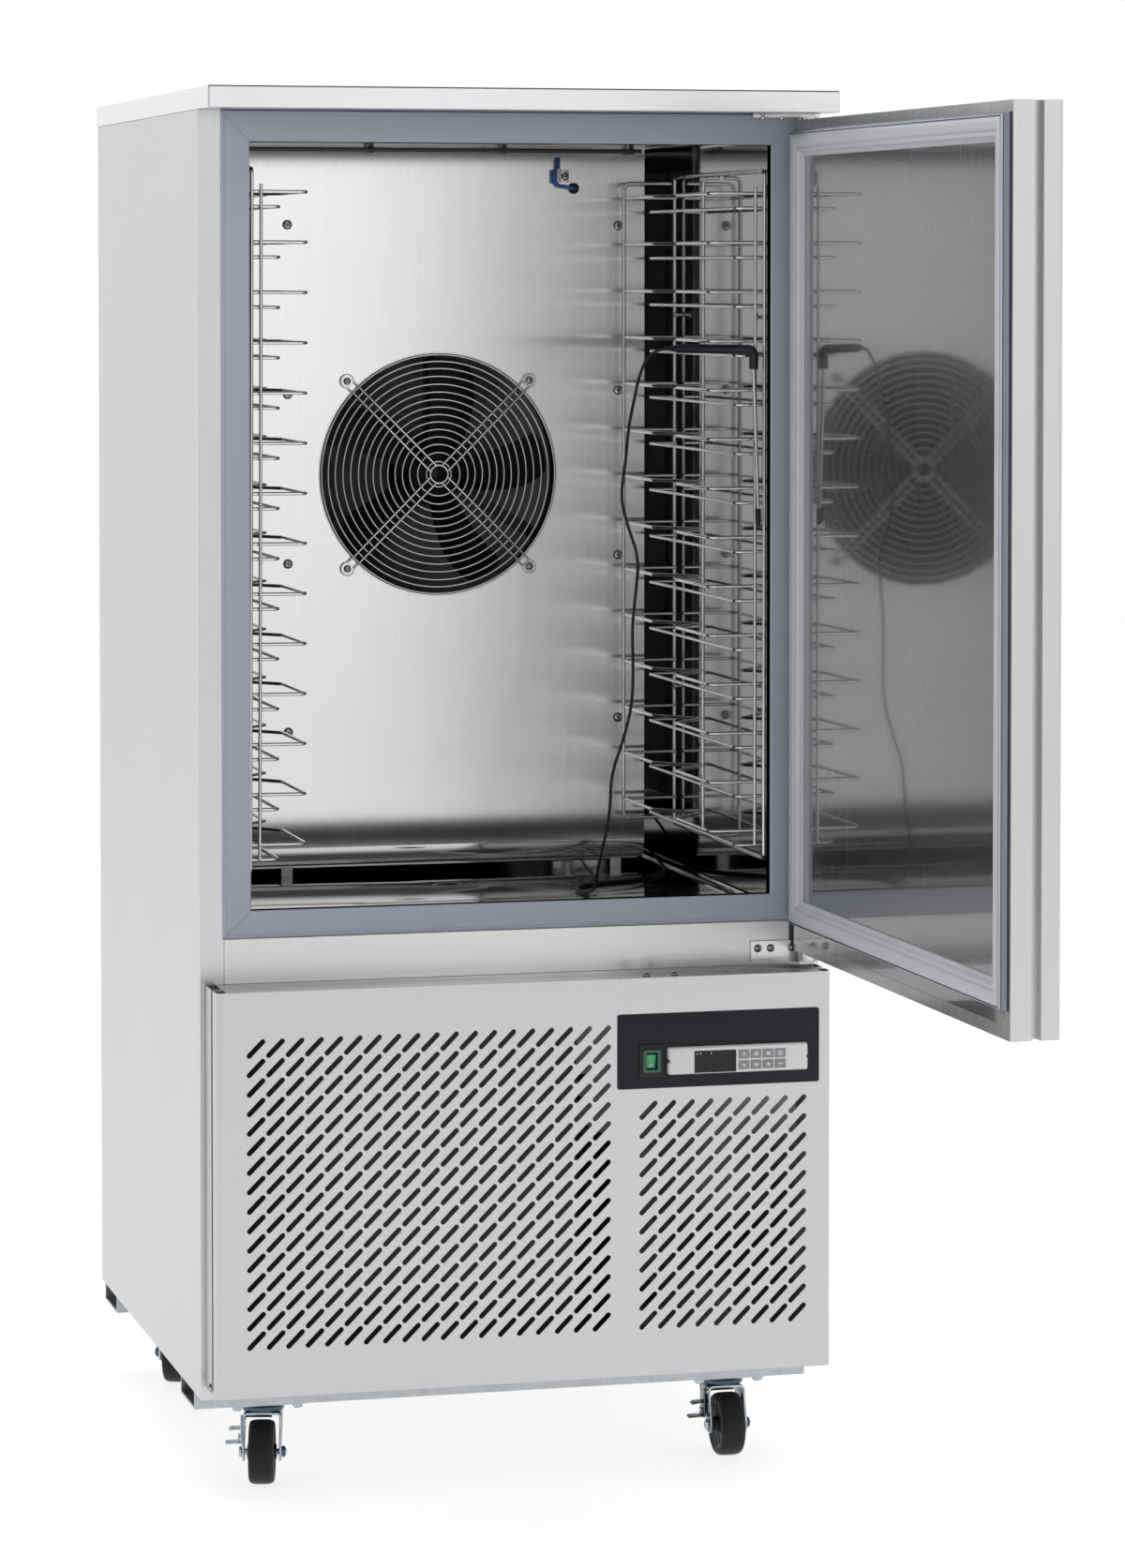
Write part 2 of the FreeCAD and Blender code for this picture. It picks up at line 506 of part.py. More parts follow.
# ================================================================= RACKS
def rack(sgn):
    """Welded wire rack: wall frame, two stand-off frames, a rod and 14 pairs of loops."""
    xw, xl, xs = g("rack_wall"), g("rack_long"), g("rack_short")
    yf, yr = g("rack_front"), g("rack_rear")
    lo, hi = g("rack_low"), g("rack_high")
    m, l = g("wire_main"), g("wire_loop")
    out = []
    # wall frame: a closed rectangle of bar with rounded corners, split at the middle of its foot
    ym = (yf + yr) / 2
    out.append(tube([(xw, ym, lo), (xw, yf, lo), (xw, yf, hi), (xw, yr, hi), (xw, yr, lo), (xw, ym + 0.2, lo)],
                    [8.0, 8.0, 8.0, 8.0], m)[0])
    # rear stand-off frame, inwards of the wall frame
    xe = xw - 2 * m - 0.05
    out.append(tube([(xe, yr, hi - 9), (xl, yr, hi - 9), (xl, yr, lo + 9), (xe, yr, lo + 9)], [9.0, 9.0], m)[0])
    # middle stand-off frame
    xm = 313.0
    ymid = -108.0
    zt, zb = hi - 2 * m - 0.05, lo + 2 * m + 0.05
    out.append(tube([(xw + 3, ymid, zt), (xm, ymid, zt), (xm, ymid, zb), (xw + 3, ymid, zb)], [8.0, 8.0], m)[0])
    # straight rod tying the front legs of the loops
    y0 = yf + m + l + 0.05
    y1 = yr - m - l - 0.05
    out.append(Part.makeCylinder(l, 836.0, V(320.0, y0 - 2 * l - 0.05, 792.0)))
    # tray loops: a long one with a short one below it on every level; half way along,
    # the long one turns out to the middle frame, where it is welded
    for k in range(int(g("level_count"))):
        z = g("level_first") - g("level_pitch") * k
        out.append(tube([(xw + 1, y0, z), (xl, y0, z), (xl, -165.0, z), (xm - m - l + 1.65, ymid, z), (xl, -52.0, z), (xl, y1, z),
                         (xw + 1, y1, z)], [9.0, 9.0, 6.0, 9.0, 9.0], l)[0])
        zs = z - g("level_drop")
        out.append(tube([(xw + 1, y0, zs), (xs, y0, zs), (xs, y1, zs), (xw + 1, y1, zs)], [9.0, 9.0], l)[0])
    comp = Part.makeCompound(out)
    if sgn < 0:
        # the left one hangs a little out from its wall and leans by a quarter of a degree
        comp = comp.mirror(V(0, 0, 0), V(1, 0, 0))
        comp.translate(V(3.0, 0, 0))
        comp.rotate(V(-330.0, 0, 1211.0), V(0, 1, 0), 0.258)
    return comp


node("rack_right", feature("rack_right", rack(1)))
node("rack_left", feature("rack_left", rack(-1)))

# --- thin dark tube under the roof, with its three ring clips
tube_bar = cyl("ceiling_bar", -330.0, 112.0, 1681.6, 2.8, 620.0, "x")
clips = [cut("tube_clip_%d" % i, cyl("tube_clip_out_%d" % i, x - 3, 112.0, 1681.6, 4.6, 6.0, "x"),
             cyl("tube_clip_in_%d" % i, x - 4, 112.0, 1681.6, 2.85, 8.0, "x")) for i, x in enumerate((-82.0, 100.0, 276.0))]
stems = [box("tube_stem_%d" % i, x - 3, 111.0, 1685.9, 6.0, 2.0, 6.0) for i, x in enumerate((-82.0, 100.0, 276.0))]
clip_parts = [fuse("tube_clip_full_%d" % i, c, s) for i, (c, s) in enumerate(zip(clips, stems))]
node("ceiling_tube", group("ceiling_tube", tube_bar, *clip_parts))

# --- chamber air sensor: blue probe held by a clip, its tail going into a grommet
sens, _ = tube([(173.4, 121.0, 1659.0), (173.4, 121.0, 1638.0), (181.0, 119.2, 1633.0), (199.6, 118.4, 1631.8), (199.6, 130.0, 1631.8)],
               [4.0, 6.0, 5.0], 2.6)
sens_body = Part.makeCylinder(3.9, 18.0, V(173.4, 121.0, 1640.0))
sens_tag = Part.makeBox(4.6, 1.6, 18.0, V(176.2, 120.2, 1655.0))
sens_tag2 = Part.makeBox(5.0, 1.6, 4.0, V(173.0, 120.2, 1655.0))
sensor = feature("sensor_bulb", sens.fuse([sens_body, sens_tag, sens_tag2]))
clip_plate = box("sensor_clip_plate", 175.0, cv - 1.6, 1638.0, 17.0, 1.5, 19.0)
clip_arm = cut("sensor_clip_arm", cyl("clip_arm_out", 173.4, 121.0, 1641.0, 5.4, 12.0),
               cyl("clip_arm_in", 173.4, 121.0, 1640.0, 4.1, 14.0), box("clip_arm_gap", 165.0, 112.0, 1640.0, 8.0, 9.0, 14.0))
clip_hole = cyl("sensor_clip_hole", 187.8, cv - 4, 1647.7, 2.8, 8.0, "y")
clip_web = box("sensor_clip_web", 174.4, cv - 3.0, 1641.0, 3.0, 2.0, 12.0)
node("air_sensor", group("air_sensor", sensor, cut("sensor_clip", fuse("sensor_clip_all", clip_plate, clip_arm, clip_web), clip_hole)))

# --- two rubber grommets: sensor lead, and probe lead at the back wall
def grommet(base, axis, bore):
    prof = [(bore, -3.0), (5.2, -3.0), (7.4, -2.6), (7.4, -0.1), (6.3, -0.1), (6.3, 1.3), (7.4, 1.3), (7.4, 3.0), (bore, 3.0)]
    return revolve_about(prof, base, axis)


node("lead_grommets", feature("lead_grommets", Part.makeCompound([
    grommet((199.6, cv - 0.05 + 0.0, 1631.8), (0, 1, 0), 2.9),
    grommet((318.0, g("liner_back") - 0.2, 771.0), (0, 1, 0), 1.9)])))

# --- floor drain: flanged cup with its pipe down through the foam
node("drain_cup", feature("drain_cup", revolve_about(
    [(9.0, -66.0), (12.0, -66.0), (12.0, 0.1), (22.0, 0.1), (23.0, 0.7), (22.0, 1.4), (14.0, 1.6), (12.0, 0.4), (9.0, -3.0)],
    (0, 15, g("liner_floor")), (0, 0, 1))))

# ================================================================= MACHINE PANEL
def slot_wire(cx, cz, y):
    """Round-ended slot leaning 45 degrees, in the plane of the front sheet."""
    h = g("slot_reach") / 2
    r = g("slot_wide") / 2
    u = V(math.sqrt(0.5), 0, math.sqrt(0.5))
    n = V(-math.sqrt(0.5), 0, math.sqrt(0.5))
    c = V(cx, y, cz)
    a, b = c - u * h, c + u * h
    return Part.Wire([Part.LineSegment(a + n * r, b + n * r).toShape(),
                      Part.Arc(b + n * r, b + u * r, b - n * r).toShape(),
                      Part.LineSegment(b - n * r, a - n * r).toShape(),
                      Part.Arc(a - n * r, a - u * r, a + n * r).toShape()])


def rect_wire(x0, z0, x1, z1, y):
    return Part.makePolygon([V(x0, y, z0), V(x1, y, z0), V(x1, y, z1), V(x0, y, z1), V(x0, y, z0)])


ph, pf, pb = g("panel_half"), g("panel_front"), g("panel_back")
pl, pt = g("panel_low"), g("panel_high")
px, pz = g("slot_pitch_across"), g("slot_pitch_down")
yb = pf
sheet_edge = rect_wire(-ph + 8, pl, ph - 8, pt, yb)
slots = []
for c in range(19):
    for r in range(16):
        slots.append(slot_wire(-342.8 + px * c, 572.6 - pz * r, yb))
for c in range(9):
    for r in range(12):
        slots.append(slot_wire(153.8 + px * c, 476.0 - pz * r, yb))
cut_ctl = rect_wire(g("ctl_left") + 2.6, g("ctl_low") + 2.6, g("ctl_right") - 2.6, g("ctl_high") - 2.6, yb)
cut_rck = rect_wire(g("rocker_x") - 13.4, g("rocker_z") - 17.9, g("rocker_x") + 13.4, g("rocker_z") + 17.9, yb)
front_face = Part.makeFace([sheet_edge] + slots + [cut_ctl, cut_rck], "Part::FaceMakerBullseye")
front_sheet = front_face.extrude(V(0, 1.2, 0))


def edge_return(sgn):
    """Side return with a rounded front corner and a shallow grip step, as one folded sheet."""
    R = 8.0
    outer = []
    for k in range(7):
        a = math.radians(90.0 * k / 6)
        outer.append((ph - R + R * math.sin(a), pf + R - R * math.cos(a)))
    inner = []
    for k in range(7):
        a = math.radians(90.0 * k / 6)
        inner.append((ph - R + (R - 1.2) * math.sin(a), pf + R - (R - 1.2) * math.cos(a)))
    tail_out = [(ph, pf + 24), (ph - 11, pf + 24), (ph - 11, pf + 35), (ph, pf + 35), (ph, pb)]
    tail_in = [(ph - 1.2, pb), (ph - 1.2, pf + 36.2), (ph - 12.2, pf + 36.2), (ph - 12.2, pf + 22.8), (ph - 1.2, pf + 22.8)]
    pts = outer + tail_out + tail_in + inner[::-1]
    if sgn < 0:
        pts = [(-x, y) for x, y in pts]
    return prism(pts, pl, pt)


ret_right, ret_left = edge_return(1), edge_return(-1)
top_ret = Part.makeBox(2 * ph - 26, pb - pf - 1.2, 1.2, V(-ph + 13, pf + 1.2, pt - 1.2))
top_ret = top_ret.cut(Part.makeCylinder(2.8, 6, V(156, -398, pt - 3))).cut(Part.makeCylinder(2.8, 6, V(192, -398, pt - 3)))
bot_ret = Part.makeBox(2 * ph - 26, pb - pf - 1.2, 1.2, V(-ph + 13, pf + 1.2, pl))
panel = front_sheet.multiFuse([ret_right, ret_left, top_ret, bot_ret])
for sgn in (-1, 1):
    panel = panel.cut(Part.makeCylinder(2.8, 6, V(sgn * (ph - 3), -372, 150), V(sgn, 0, 0)))
node("louvre_panel", feature("louvre_panel", panel))

# --- control plate: dark plate with openings for the switch and the controller
cp_body = doc.addObject("PartDesign::Body", "control_plate")
cp_s = sketch_on(cp_body, "control_plate_face", "XZ_Plane", "-panel_front+0.1")
rect(cp_s, g("plate_left"), g("plate_low"), g("plate_right"), g("plate_high"), "plate",
     "plate_right-plate_left", "plate_high-plate_low")
rect(cp_s, g("ctl_left") + 2.6, g("ctl_low") + 2.6, g("ctl_right") - 2.6, g("ctl_high") - 2.6)
rect(cp_s, g("rocker_x") - 13.4, g("rocker_z") - 17.9, g("rocker_x") + 13.4, g("rocker_z") + 17.9)
pad(cp_body, cp_s, "plate_thick", name="control_plate_pad")
node("control_plate", cp_body)

# --- controller: bezel with key pockets, body behind the panel
ctl_y = g("panel_front") - 0.1 - g("plate_thick") - 0.05
bez = box("ctl_bezel", "ctl_left", "panel_front-0.15-plate_thick-ctl_proud", "ctl_low", "ctl_right-ctl_left", "ctl_proud",
          "ctl_high-ctl_low")
ctl_back = box("ctl_body", "ctl_left+3", "panel_front-0.15-plate_thick-0.2", "ctl_low+3", "ctl_right-ctl_left-6", 52.0,
               "ctl_high-ctl_low-6")
KEYS = [(x, z) for z in (543.0, 529.6) for x in (275.0, 290.75, 306.5, 322.25)]
kw, kh = g("key_wide"), g("key_high")
pockets = [box("key_pocket_%d" % i, x - kw / 2 - 0.35, -430.0, z - kh / 2 - 0.35, kw + 0.7, 11.6, kh + 0.7)
           for i, (x, z) in enumerate(KEYS)]
win = box("display_pocket", 210.6, -430.0, 521.8, 54.4, 7.5, 27.6)
notches = [cyl("ctl_notch_%d" % i, x, -430.0, 537.0, 4.2, 20.0, "y") for i, x in enumerate((177.5, 359.5))]
node("controller_housing", cut("controller_housing", fuse("ctl_solid", bez, ctl_back), win, notches[0], notches[1], *pockets))
node("display_window", box("display_window", 210.9, -424.35, 522.1, 53.8, 1.7, 27.0))
front_y = g("panel_front") - 0.15 - g("plate_thick") - g("ctl_proud")
for i, (x, z) in enumerate(KEYS):
    kb = box("key_box_%d" % (i + 1), x - kw / 2, front_y - 1.1, z - kh / 2, "key_wide", "key_deep", "key_high")
    kr = doc.addObject("Part::Fillet", "key_%d" % (i + 1))
    kr.Base = kb
    doc.recompute()
    ids = [(n, 1.2, 1.2) for n, e in enumerate(kb.Shape.Edges, start=1) if e.BoundBox.YLength > 2]
    ids += [(n, 0.5, 0.5) for n, e in enumerate(kb.Shape.Edges, start=1) if e.BoundBox.YMax < front_y - 1.0]
    kr.Edges = ids
    node("key_%d" % (i + 1), kr)

# --- power switch: housing with a guard, and the rocker on its cross pin
rx, rz = g("rocker_x"), g("rocker_z")
rk_out = box("switch_flange", rx - 15.5, "panel_front-0.15-plate_thick-2.2", rz - 20.5, 31.0, 2.2, 41.0)
rk_body = box("switch_body", rx - 13.0, "panel_front-0.15-plate_thick-0.1", rz - 17.5, 26.0, 24.0, 35.0)
rk_guard = box("switch_guard", rx - 11.5, "panel_front-0.15-plate_thick-6.2", rz - 14.5, 23.0, 5.0, 29.0)
rk_hole = box("switch_hole", rx - 7.0, -430.0, rz - 10.6, 14.0, 32.0, 21.2)
rk_pin = cyl("switch_pin", rx - 8.0, -411.0, "rocker_z", 1.2, 16.0, "x")
node("switch_housing", fuse("switch_housing", cut("switch_shell", fuse("switch_all", rk_out, rk_body, rk_guard), rk_hole), rk_pin))
tilt = math.radians(8.0)
rp = [(-9.0, -7.6), (0.0, -6.6), (9.0, -7.6), (9.0, -1.0), (4.0, 5.0), (-4.0, 5.0), (-9.0, -1.0)]
ring = []
for zz, yy in rp:
    ring.append(V(rx - 6.2, -411.0 + yy * math.cos(tilt) - zz * math.sin(tilt), rz + zz * math.cos(tilt) + yy * math.sin(tilt)))
rocker = Part.Face(Part.makePolygon(ring + [ring[0]])).extrude(V(12.4, 0, 0))
rocker = rocker.cut(Part.makeCylinder(1.25, 20, V(rx - 10, -411.0, rz), V(1, 0, 0)))
node("power_rocker", feature("power_rocker", rocker))

# ================================================================= MACHINE SPACE
tray = box("tray_sheet", "-body_half+sheet_steel+0.3", "body_front+sheet_steel+0.3", "body_bottom+0.2",
           "2*(body_half-sheet_steel-0.3)", "body_back-body_front-2*sheet_steel-0.6", 1.6)
tray_slots = [box("tray_slot_%d" % i, -260.0 + 80.0 * i, 60.0, "body_bottom-2", 8.0, 160.0, 8.0) for i in range(5)]
node("base_tray", cut("base_tray", tray, *tray_slots))

rails = []
for i, yy in enumerate(("front_rail_y", "rear_rail_y")):
    o = box("base_rail_out_%d" % i, "-body_half+1", yy, "base_rail_low", "2*body_half-2", "base_rail_wide",
            "body_bottom-base_rail_low-0.1")
    n_ = box("base_rail_in_%d" % i, "-body_half-5", yy + "+3", "base_rail_low+3", "2*body_half+10", "base_rail_wide-6", 40.0)
    cy_ = g("castor_front_y") if i == 0 else g("castor_rear_y")
    bores = [cyl("rail_bore_%d_%d_%d" % (i, ix, iy), sx * g("castor_x") + bx, cy_ + by, 100.0, 4.2, 12.0)
             for ix, (sx, bx) in enumerate(((-1, -39), (-1, 39), (1, -39), (1, 39))) for iy, by in enumerate((-29, 29))]
    rails.append(cut("base_rail_%d" % i, o, n_, *bores))
node("base_rails", group("base_rails", *rails))

comp_can = cyl("comp_can", 215.0, 190.0, 168.0, 88.0, 130.0)
comp_dome = doc.addObject("Part::Ellipsoid", "comp_dome")
comp_dome.Radius1, comp_dome.Radius2, comp_dome.Radius3 = 48.0, 88.0, 88.0
at(comp_dome, 215.0, 190.0, 298.0)
comp_sump = doc.addObject("Part::Ellipsoid", "comp_sump")
comp_sump.Radius1, comp_sump.Radius2, comp_sump.Radius3 = 30.0, 88.0, 88.0
at(comp_sump, 215.0, 190.0, 168.0)
comp_plate = box("comp_plate", 115.0, 105.0, 129.2, 200.0, 170.0, 12.0)
comp_box = box("comp_box", 120.0, 150.0, 190.0, 20.0, 80.0, 90.0)
comp_pipe = cyl("comp_pipe", 215.0, 255.0, 300.0, 6.0, 120.0)
node("compressor", fuse("compressor", comp_can, comp_dome, comp_sump, comp_plate, comp_box, comp_pipe))

cond_core = box("cond_core", -345.0, -324.0, 150.0, 430.0, 62.0, 420.0)
cond_feet = [box("cond_foot_%d" % i, x, -324.0, 129.0, 30.0, 62.0, 22.0) for i, x in enumerate((-330.0, 40.0))]
cond_tubes = [cyl("cond_tube_%d" % i, 84.0, -308.0 + 30.0 * (i % 2), 172.0 + 33.0 * i, 4.8, 20.0, "x") for i in range(12)]
node("condenser_coil", fuse("condenser_coil", cond_core, *cond_feet, *cond_tubes))

sh_out = box("shroud_out", -345.0, -261.5, 150.0, 430.0, 74.0, 420.0)
sh_in = box("shroud_in", -343.8, -263.0, 151.2, 427.6, 74.3, 417.6)
sh_hole = cyl("shroud_hole", -130.0, -200.0, 360.0, 153.0, 30.0, "y")
sh_arm = box("shroud_arm_a", -290.0, -187.4, 352.0, 320.0, 3.0, 16.0)
sh_arm2 = box("shroud_arm_b", -138.0, -187.4, 200.0, 16.0, 3.0, 320.0)
cm_can = cyl("cond_motor_can", -130.0, -186.5, 360.0, 42.0, 62.0, "y")
cm_shaft = cyl("cond_motor_shaft", -130.0, -228.0, 360.0, 5.0, 48.0, "y")
shroud = cut("shroud_shell", sh_out, sh_in, sh_hole)
cond_motor = fuse("cond_motor_all", sh_arm, sh_arm2, cm_can, cm_shaft)
node("condenser_shroud", group("condenser_shroud", shroud, cond_motor))
node("condenser_fan", blades("condenser_fan", 146.0, 30.0, 26.0, 5, 74.0, -26.0, -226.0, 5.05, (-130.0, 360.0)))

inl_out = box("inlet_flange", 280.6, "body_back-1.3", 190.6, 46.8, 1.3, 26.8)
inl_body = box("inlet_body", 283.0, "body_back-24", 193.0, 42.0, 24.0, 22.0)
inl_hole = box("inlet_well", 291.0, "body_back-18", 196.5, 26.0, 22.0, 15.0)
inl_pins = [box("inlet_pin_%d" % i, x, "body_back-20", z, 4.0, 17.0, 2.0) for i, (x, z) in
            enumerate(((302.0, 206.5), (295.0, 201.0), (309.0, 201.0)))]
node("power_inlet", fuse("power_inlet", cut("inlet_shell", fuse("inlet_all", inl_out, inl_body), inl_hole), *inl_pins))

# ================================================================= DOOR
# The door is drawn shut, then swung open about its pins to where it stands.
swing = Placement(V(0, 0, 0), Rotation(V(0, 0, 1), g("door_open")), V(g("hinge_x"), g("hinge_y"), 0))
dh, di, do_ = g("door_half"), g("door_inner"), g("door_outer")
dl, dt = g("door_low"), g("door_high")


def skin_outline(o):
    """Plan outline of the door skin moved inwards by o; grip channel at the free edge (-X)."""
    R = max(5.0 - o, 0.6)
    pts = []
    x0, x1, y0, y1 = -dh + o, dh - o, do_ + o, di - o
    for k in range(5):
        a = math.radians(90.0 * k / 4)
        pts.append((x1 - R + R * math.cos(a - math.pi / 2), y0 + R + R * math.sin(a - math.pi / 2)))
    pts += [(x1, y1), (x0, y1), (x0, di - 25.5 + o), (x0 + 12.0, di - 25.5 + o), (x0 + 12.0, di - 36.5 - o), (x0, di - 36.5 - o)]
    for k in range(5):
        a = math.radians(90.0 * k / 4)
        pts.append((x0 + R - R * math.cos(a), y0 + R - R * math.sin(a)))
    return pts


skin = prism(skin_outline(0.0), dl, dt)
skin = skin.cut(prism(skin_outline(1.2), dl + 1.2, dt - 1.2))
skin = skin.cut(Part.makeBox(2 * dh - 30, 4.0, dt - dl - 30, V(-dh + 15, di - 2.0, dl + 15)))
pin_hole_r = g("pin_radius") + g("pin_clear")
skin = skin.cut(Part.makeCylinder(pin_hole_r, 5, V(g("hinge_x"), g("hinge_y"), dl - 2)))
skin = skin.cut(Part.makeCylinder(pin_hole_r, 5, V(g("hinge_x"), g("hinge_y"), dt - 3)))
node("door_outer_skin", feature("door_outer_skin", skin, swing))
inner = Part.makeBox(2 * dh - 30.4, 1.2, dt - dl - 30.4, V(-dh + 15.2, di - 1.2, dl + 15.2))
node("door_inner_panel", feature("door_inner_panel", inner, swing))
core = prism(skin_outline(1.5), dl + 1.5, dt - 1.5)
for zz in (dl, dt - 32):
    core = core.cut(Part.makeCylinder(7.5, 32, V(g("hinge_x"), g("hinge_y"), zz)))
node("door_foam", feature("door_foam", core, swing))
sh, sw, sl, st, sk = g("seal_half"), g("seal_wide"), g("seal_low"), g("seal_high"), g("seal_thick")
seal = Part.makeBox(2 * sh, sk, st - sl, V(-sh, di + 0.05, sl))
seal = seal.cut(Part.makeBox(2 * (sh - sw), sk + 4, st - sl - 2 * sw, V(-sh + sw, di - 1, sl + sw)))
groove = Part.makeBox(2 * (sh - 21), 6, st - sl - 42, V(-sh + 21, di + 0.05 + sk - 3.0, sl + 21))
groove = groove.cut(Part.makeBox(2 * (sh - 24), 12, st - sl - 48, V(-sh + 24, di, sl + 24)))
seal = seal.cut(groove)
node("door_gasket", feature("door_gasket", seal, swing))

# --- hinge brackets: fixed leaf on the cabinet, level leaf carrying the pin
def bracket(name, z_leaf, thick, up):
    b = doc.addObject("PartDesign::Body", name + "_leaf")
    s = sketch_on(b, name + "_plan", "XY_Plane", z_leaf)
    y0 = g("body_front") - 0.2
    outline(s, [(308.0, y0), (308.0, y0 - 8.0), (332.0, y0 - 10.0), (362.0, -377.0), (380.0, -379.0), (387.0, -373.0),
                (389.0, -362.0), (389.0, y0)])
    pad(b, s, thick, name=name + "_pad")
    return b


low_leaf = bracket("hinge_low", 646.0, 3.2, True)
low_wall = box("hinge_low_wall", 308.0, "body_front-3.6", 646.0, 81.0, 3.4, 26.6)
low_slope = doc.addObject("Part::Wedge", "hinge_low_slope")
low_slope.Xmin, low_slope.Xmax, low_slope.Ymin, low_slope.Ymax = 0.0, 30.0, 0.0, 20.0
low_slope.Zmin, low_slope.Zmax, low_slope.X2min, low_slope.X2max, low_slope.Z2min, low_slope.Z2max = 0.0, 6.0, 30.0, 30.0, 0.0, 6.0
low_slope.Placement = Placement(V(360.0, g("body_front") + 1.0, 653.0), Rotation(V(1, 0, 0), 90))
low_pin = cyl("hinge_low_pin", "hinge_x", "hinge_y", 646.0, "pin_radius", 33.0)
low_washer = cyl("hinge_low_washer", "hinge_x", "hinge_y", 649.0, 9.0, 11.6)
low_holes = [cyl("hinge_low_hole_%d" % i, x, "body_front-8", 663.5, 2.7, 14.0, "y") for i, x in enumerate((317.0, 334.0, 362.0))]
node("hinge_bracket_bottom", cut("hinge_bracket_bottom", fuse("hinge_low_all", low_leaf, low_wall, low_pin, low_washer), *low_holes))
top_leaf = bracket("hinge_top", 1713.4, 4.2, False)
top_wall = box("hinge_top_wall", 308.0, "body_front-3.6", 1713.4, 81.0, 3.4, 4.2)
top_pin = cyl("hinge_top_pin", "hinge_x", "hinge_y", 1690.0, "pin_radius", 27.0)
top_washer = cyl("hinge_top_washer", "hinge_x", "hinge_y", 1710.4, 8.0, 4.0)
top_holes = [cyl("hinge_top_hole_%d" % i, x, -352.0, 1708.0, 2.7, 14.0) for i, x in enumerate((320.0, 345.0))]
node("hinge_bracket_top", cut("hinge_bracket_top", fuse("hinge_top_all", top_leaf, top_wall, top_pin, top_washer), *top_holes))

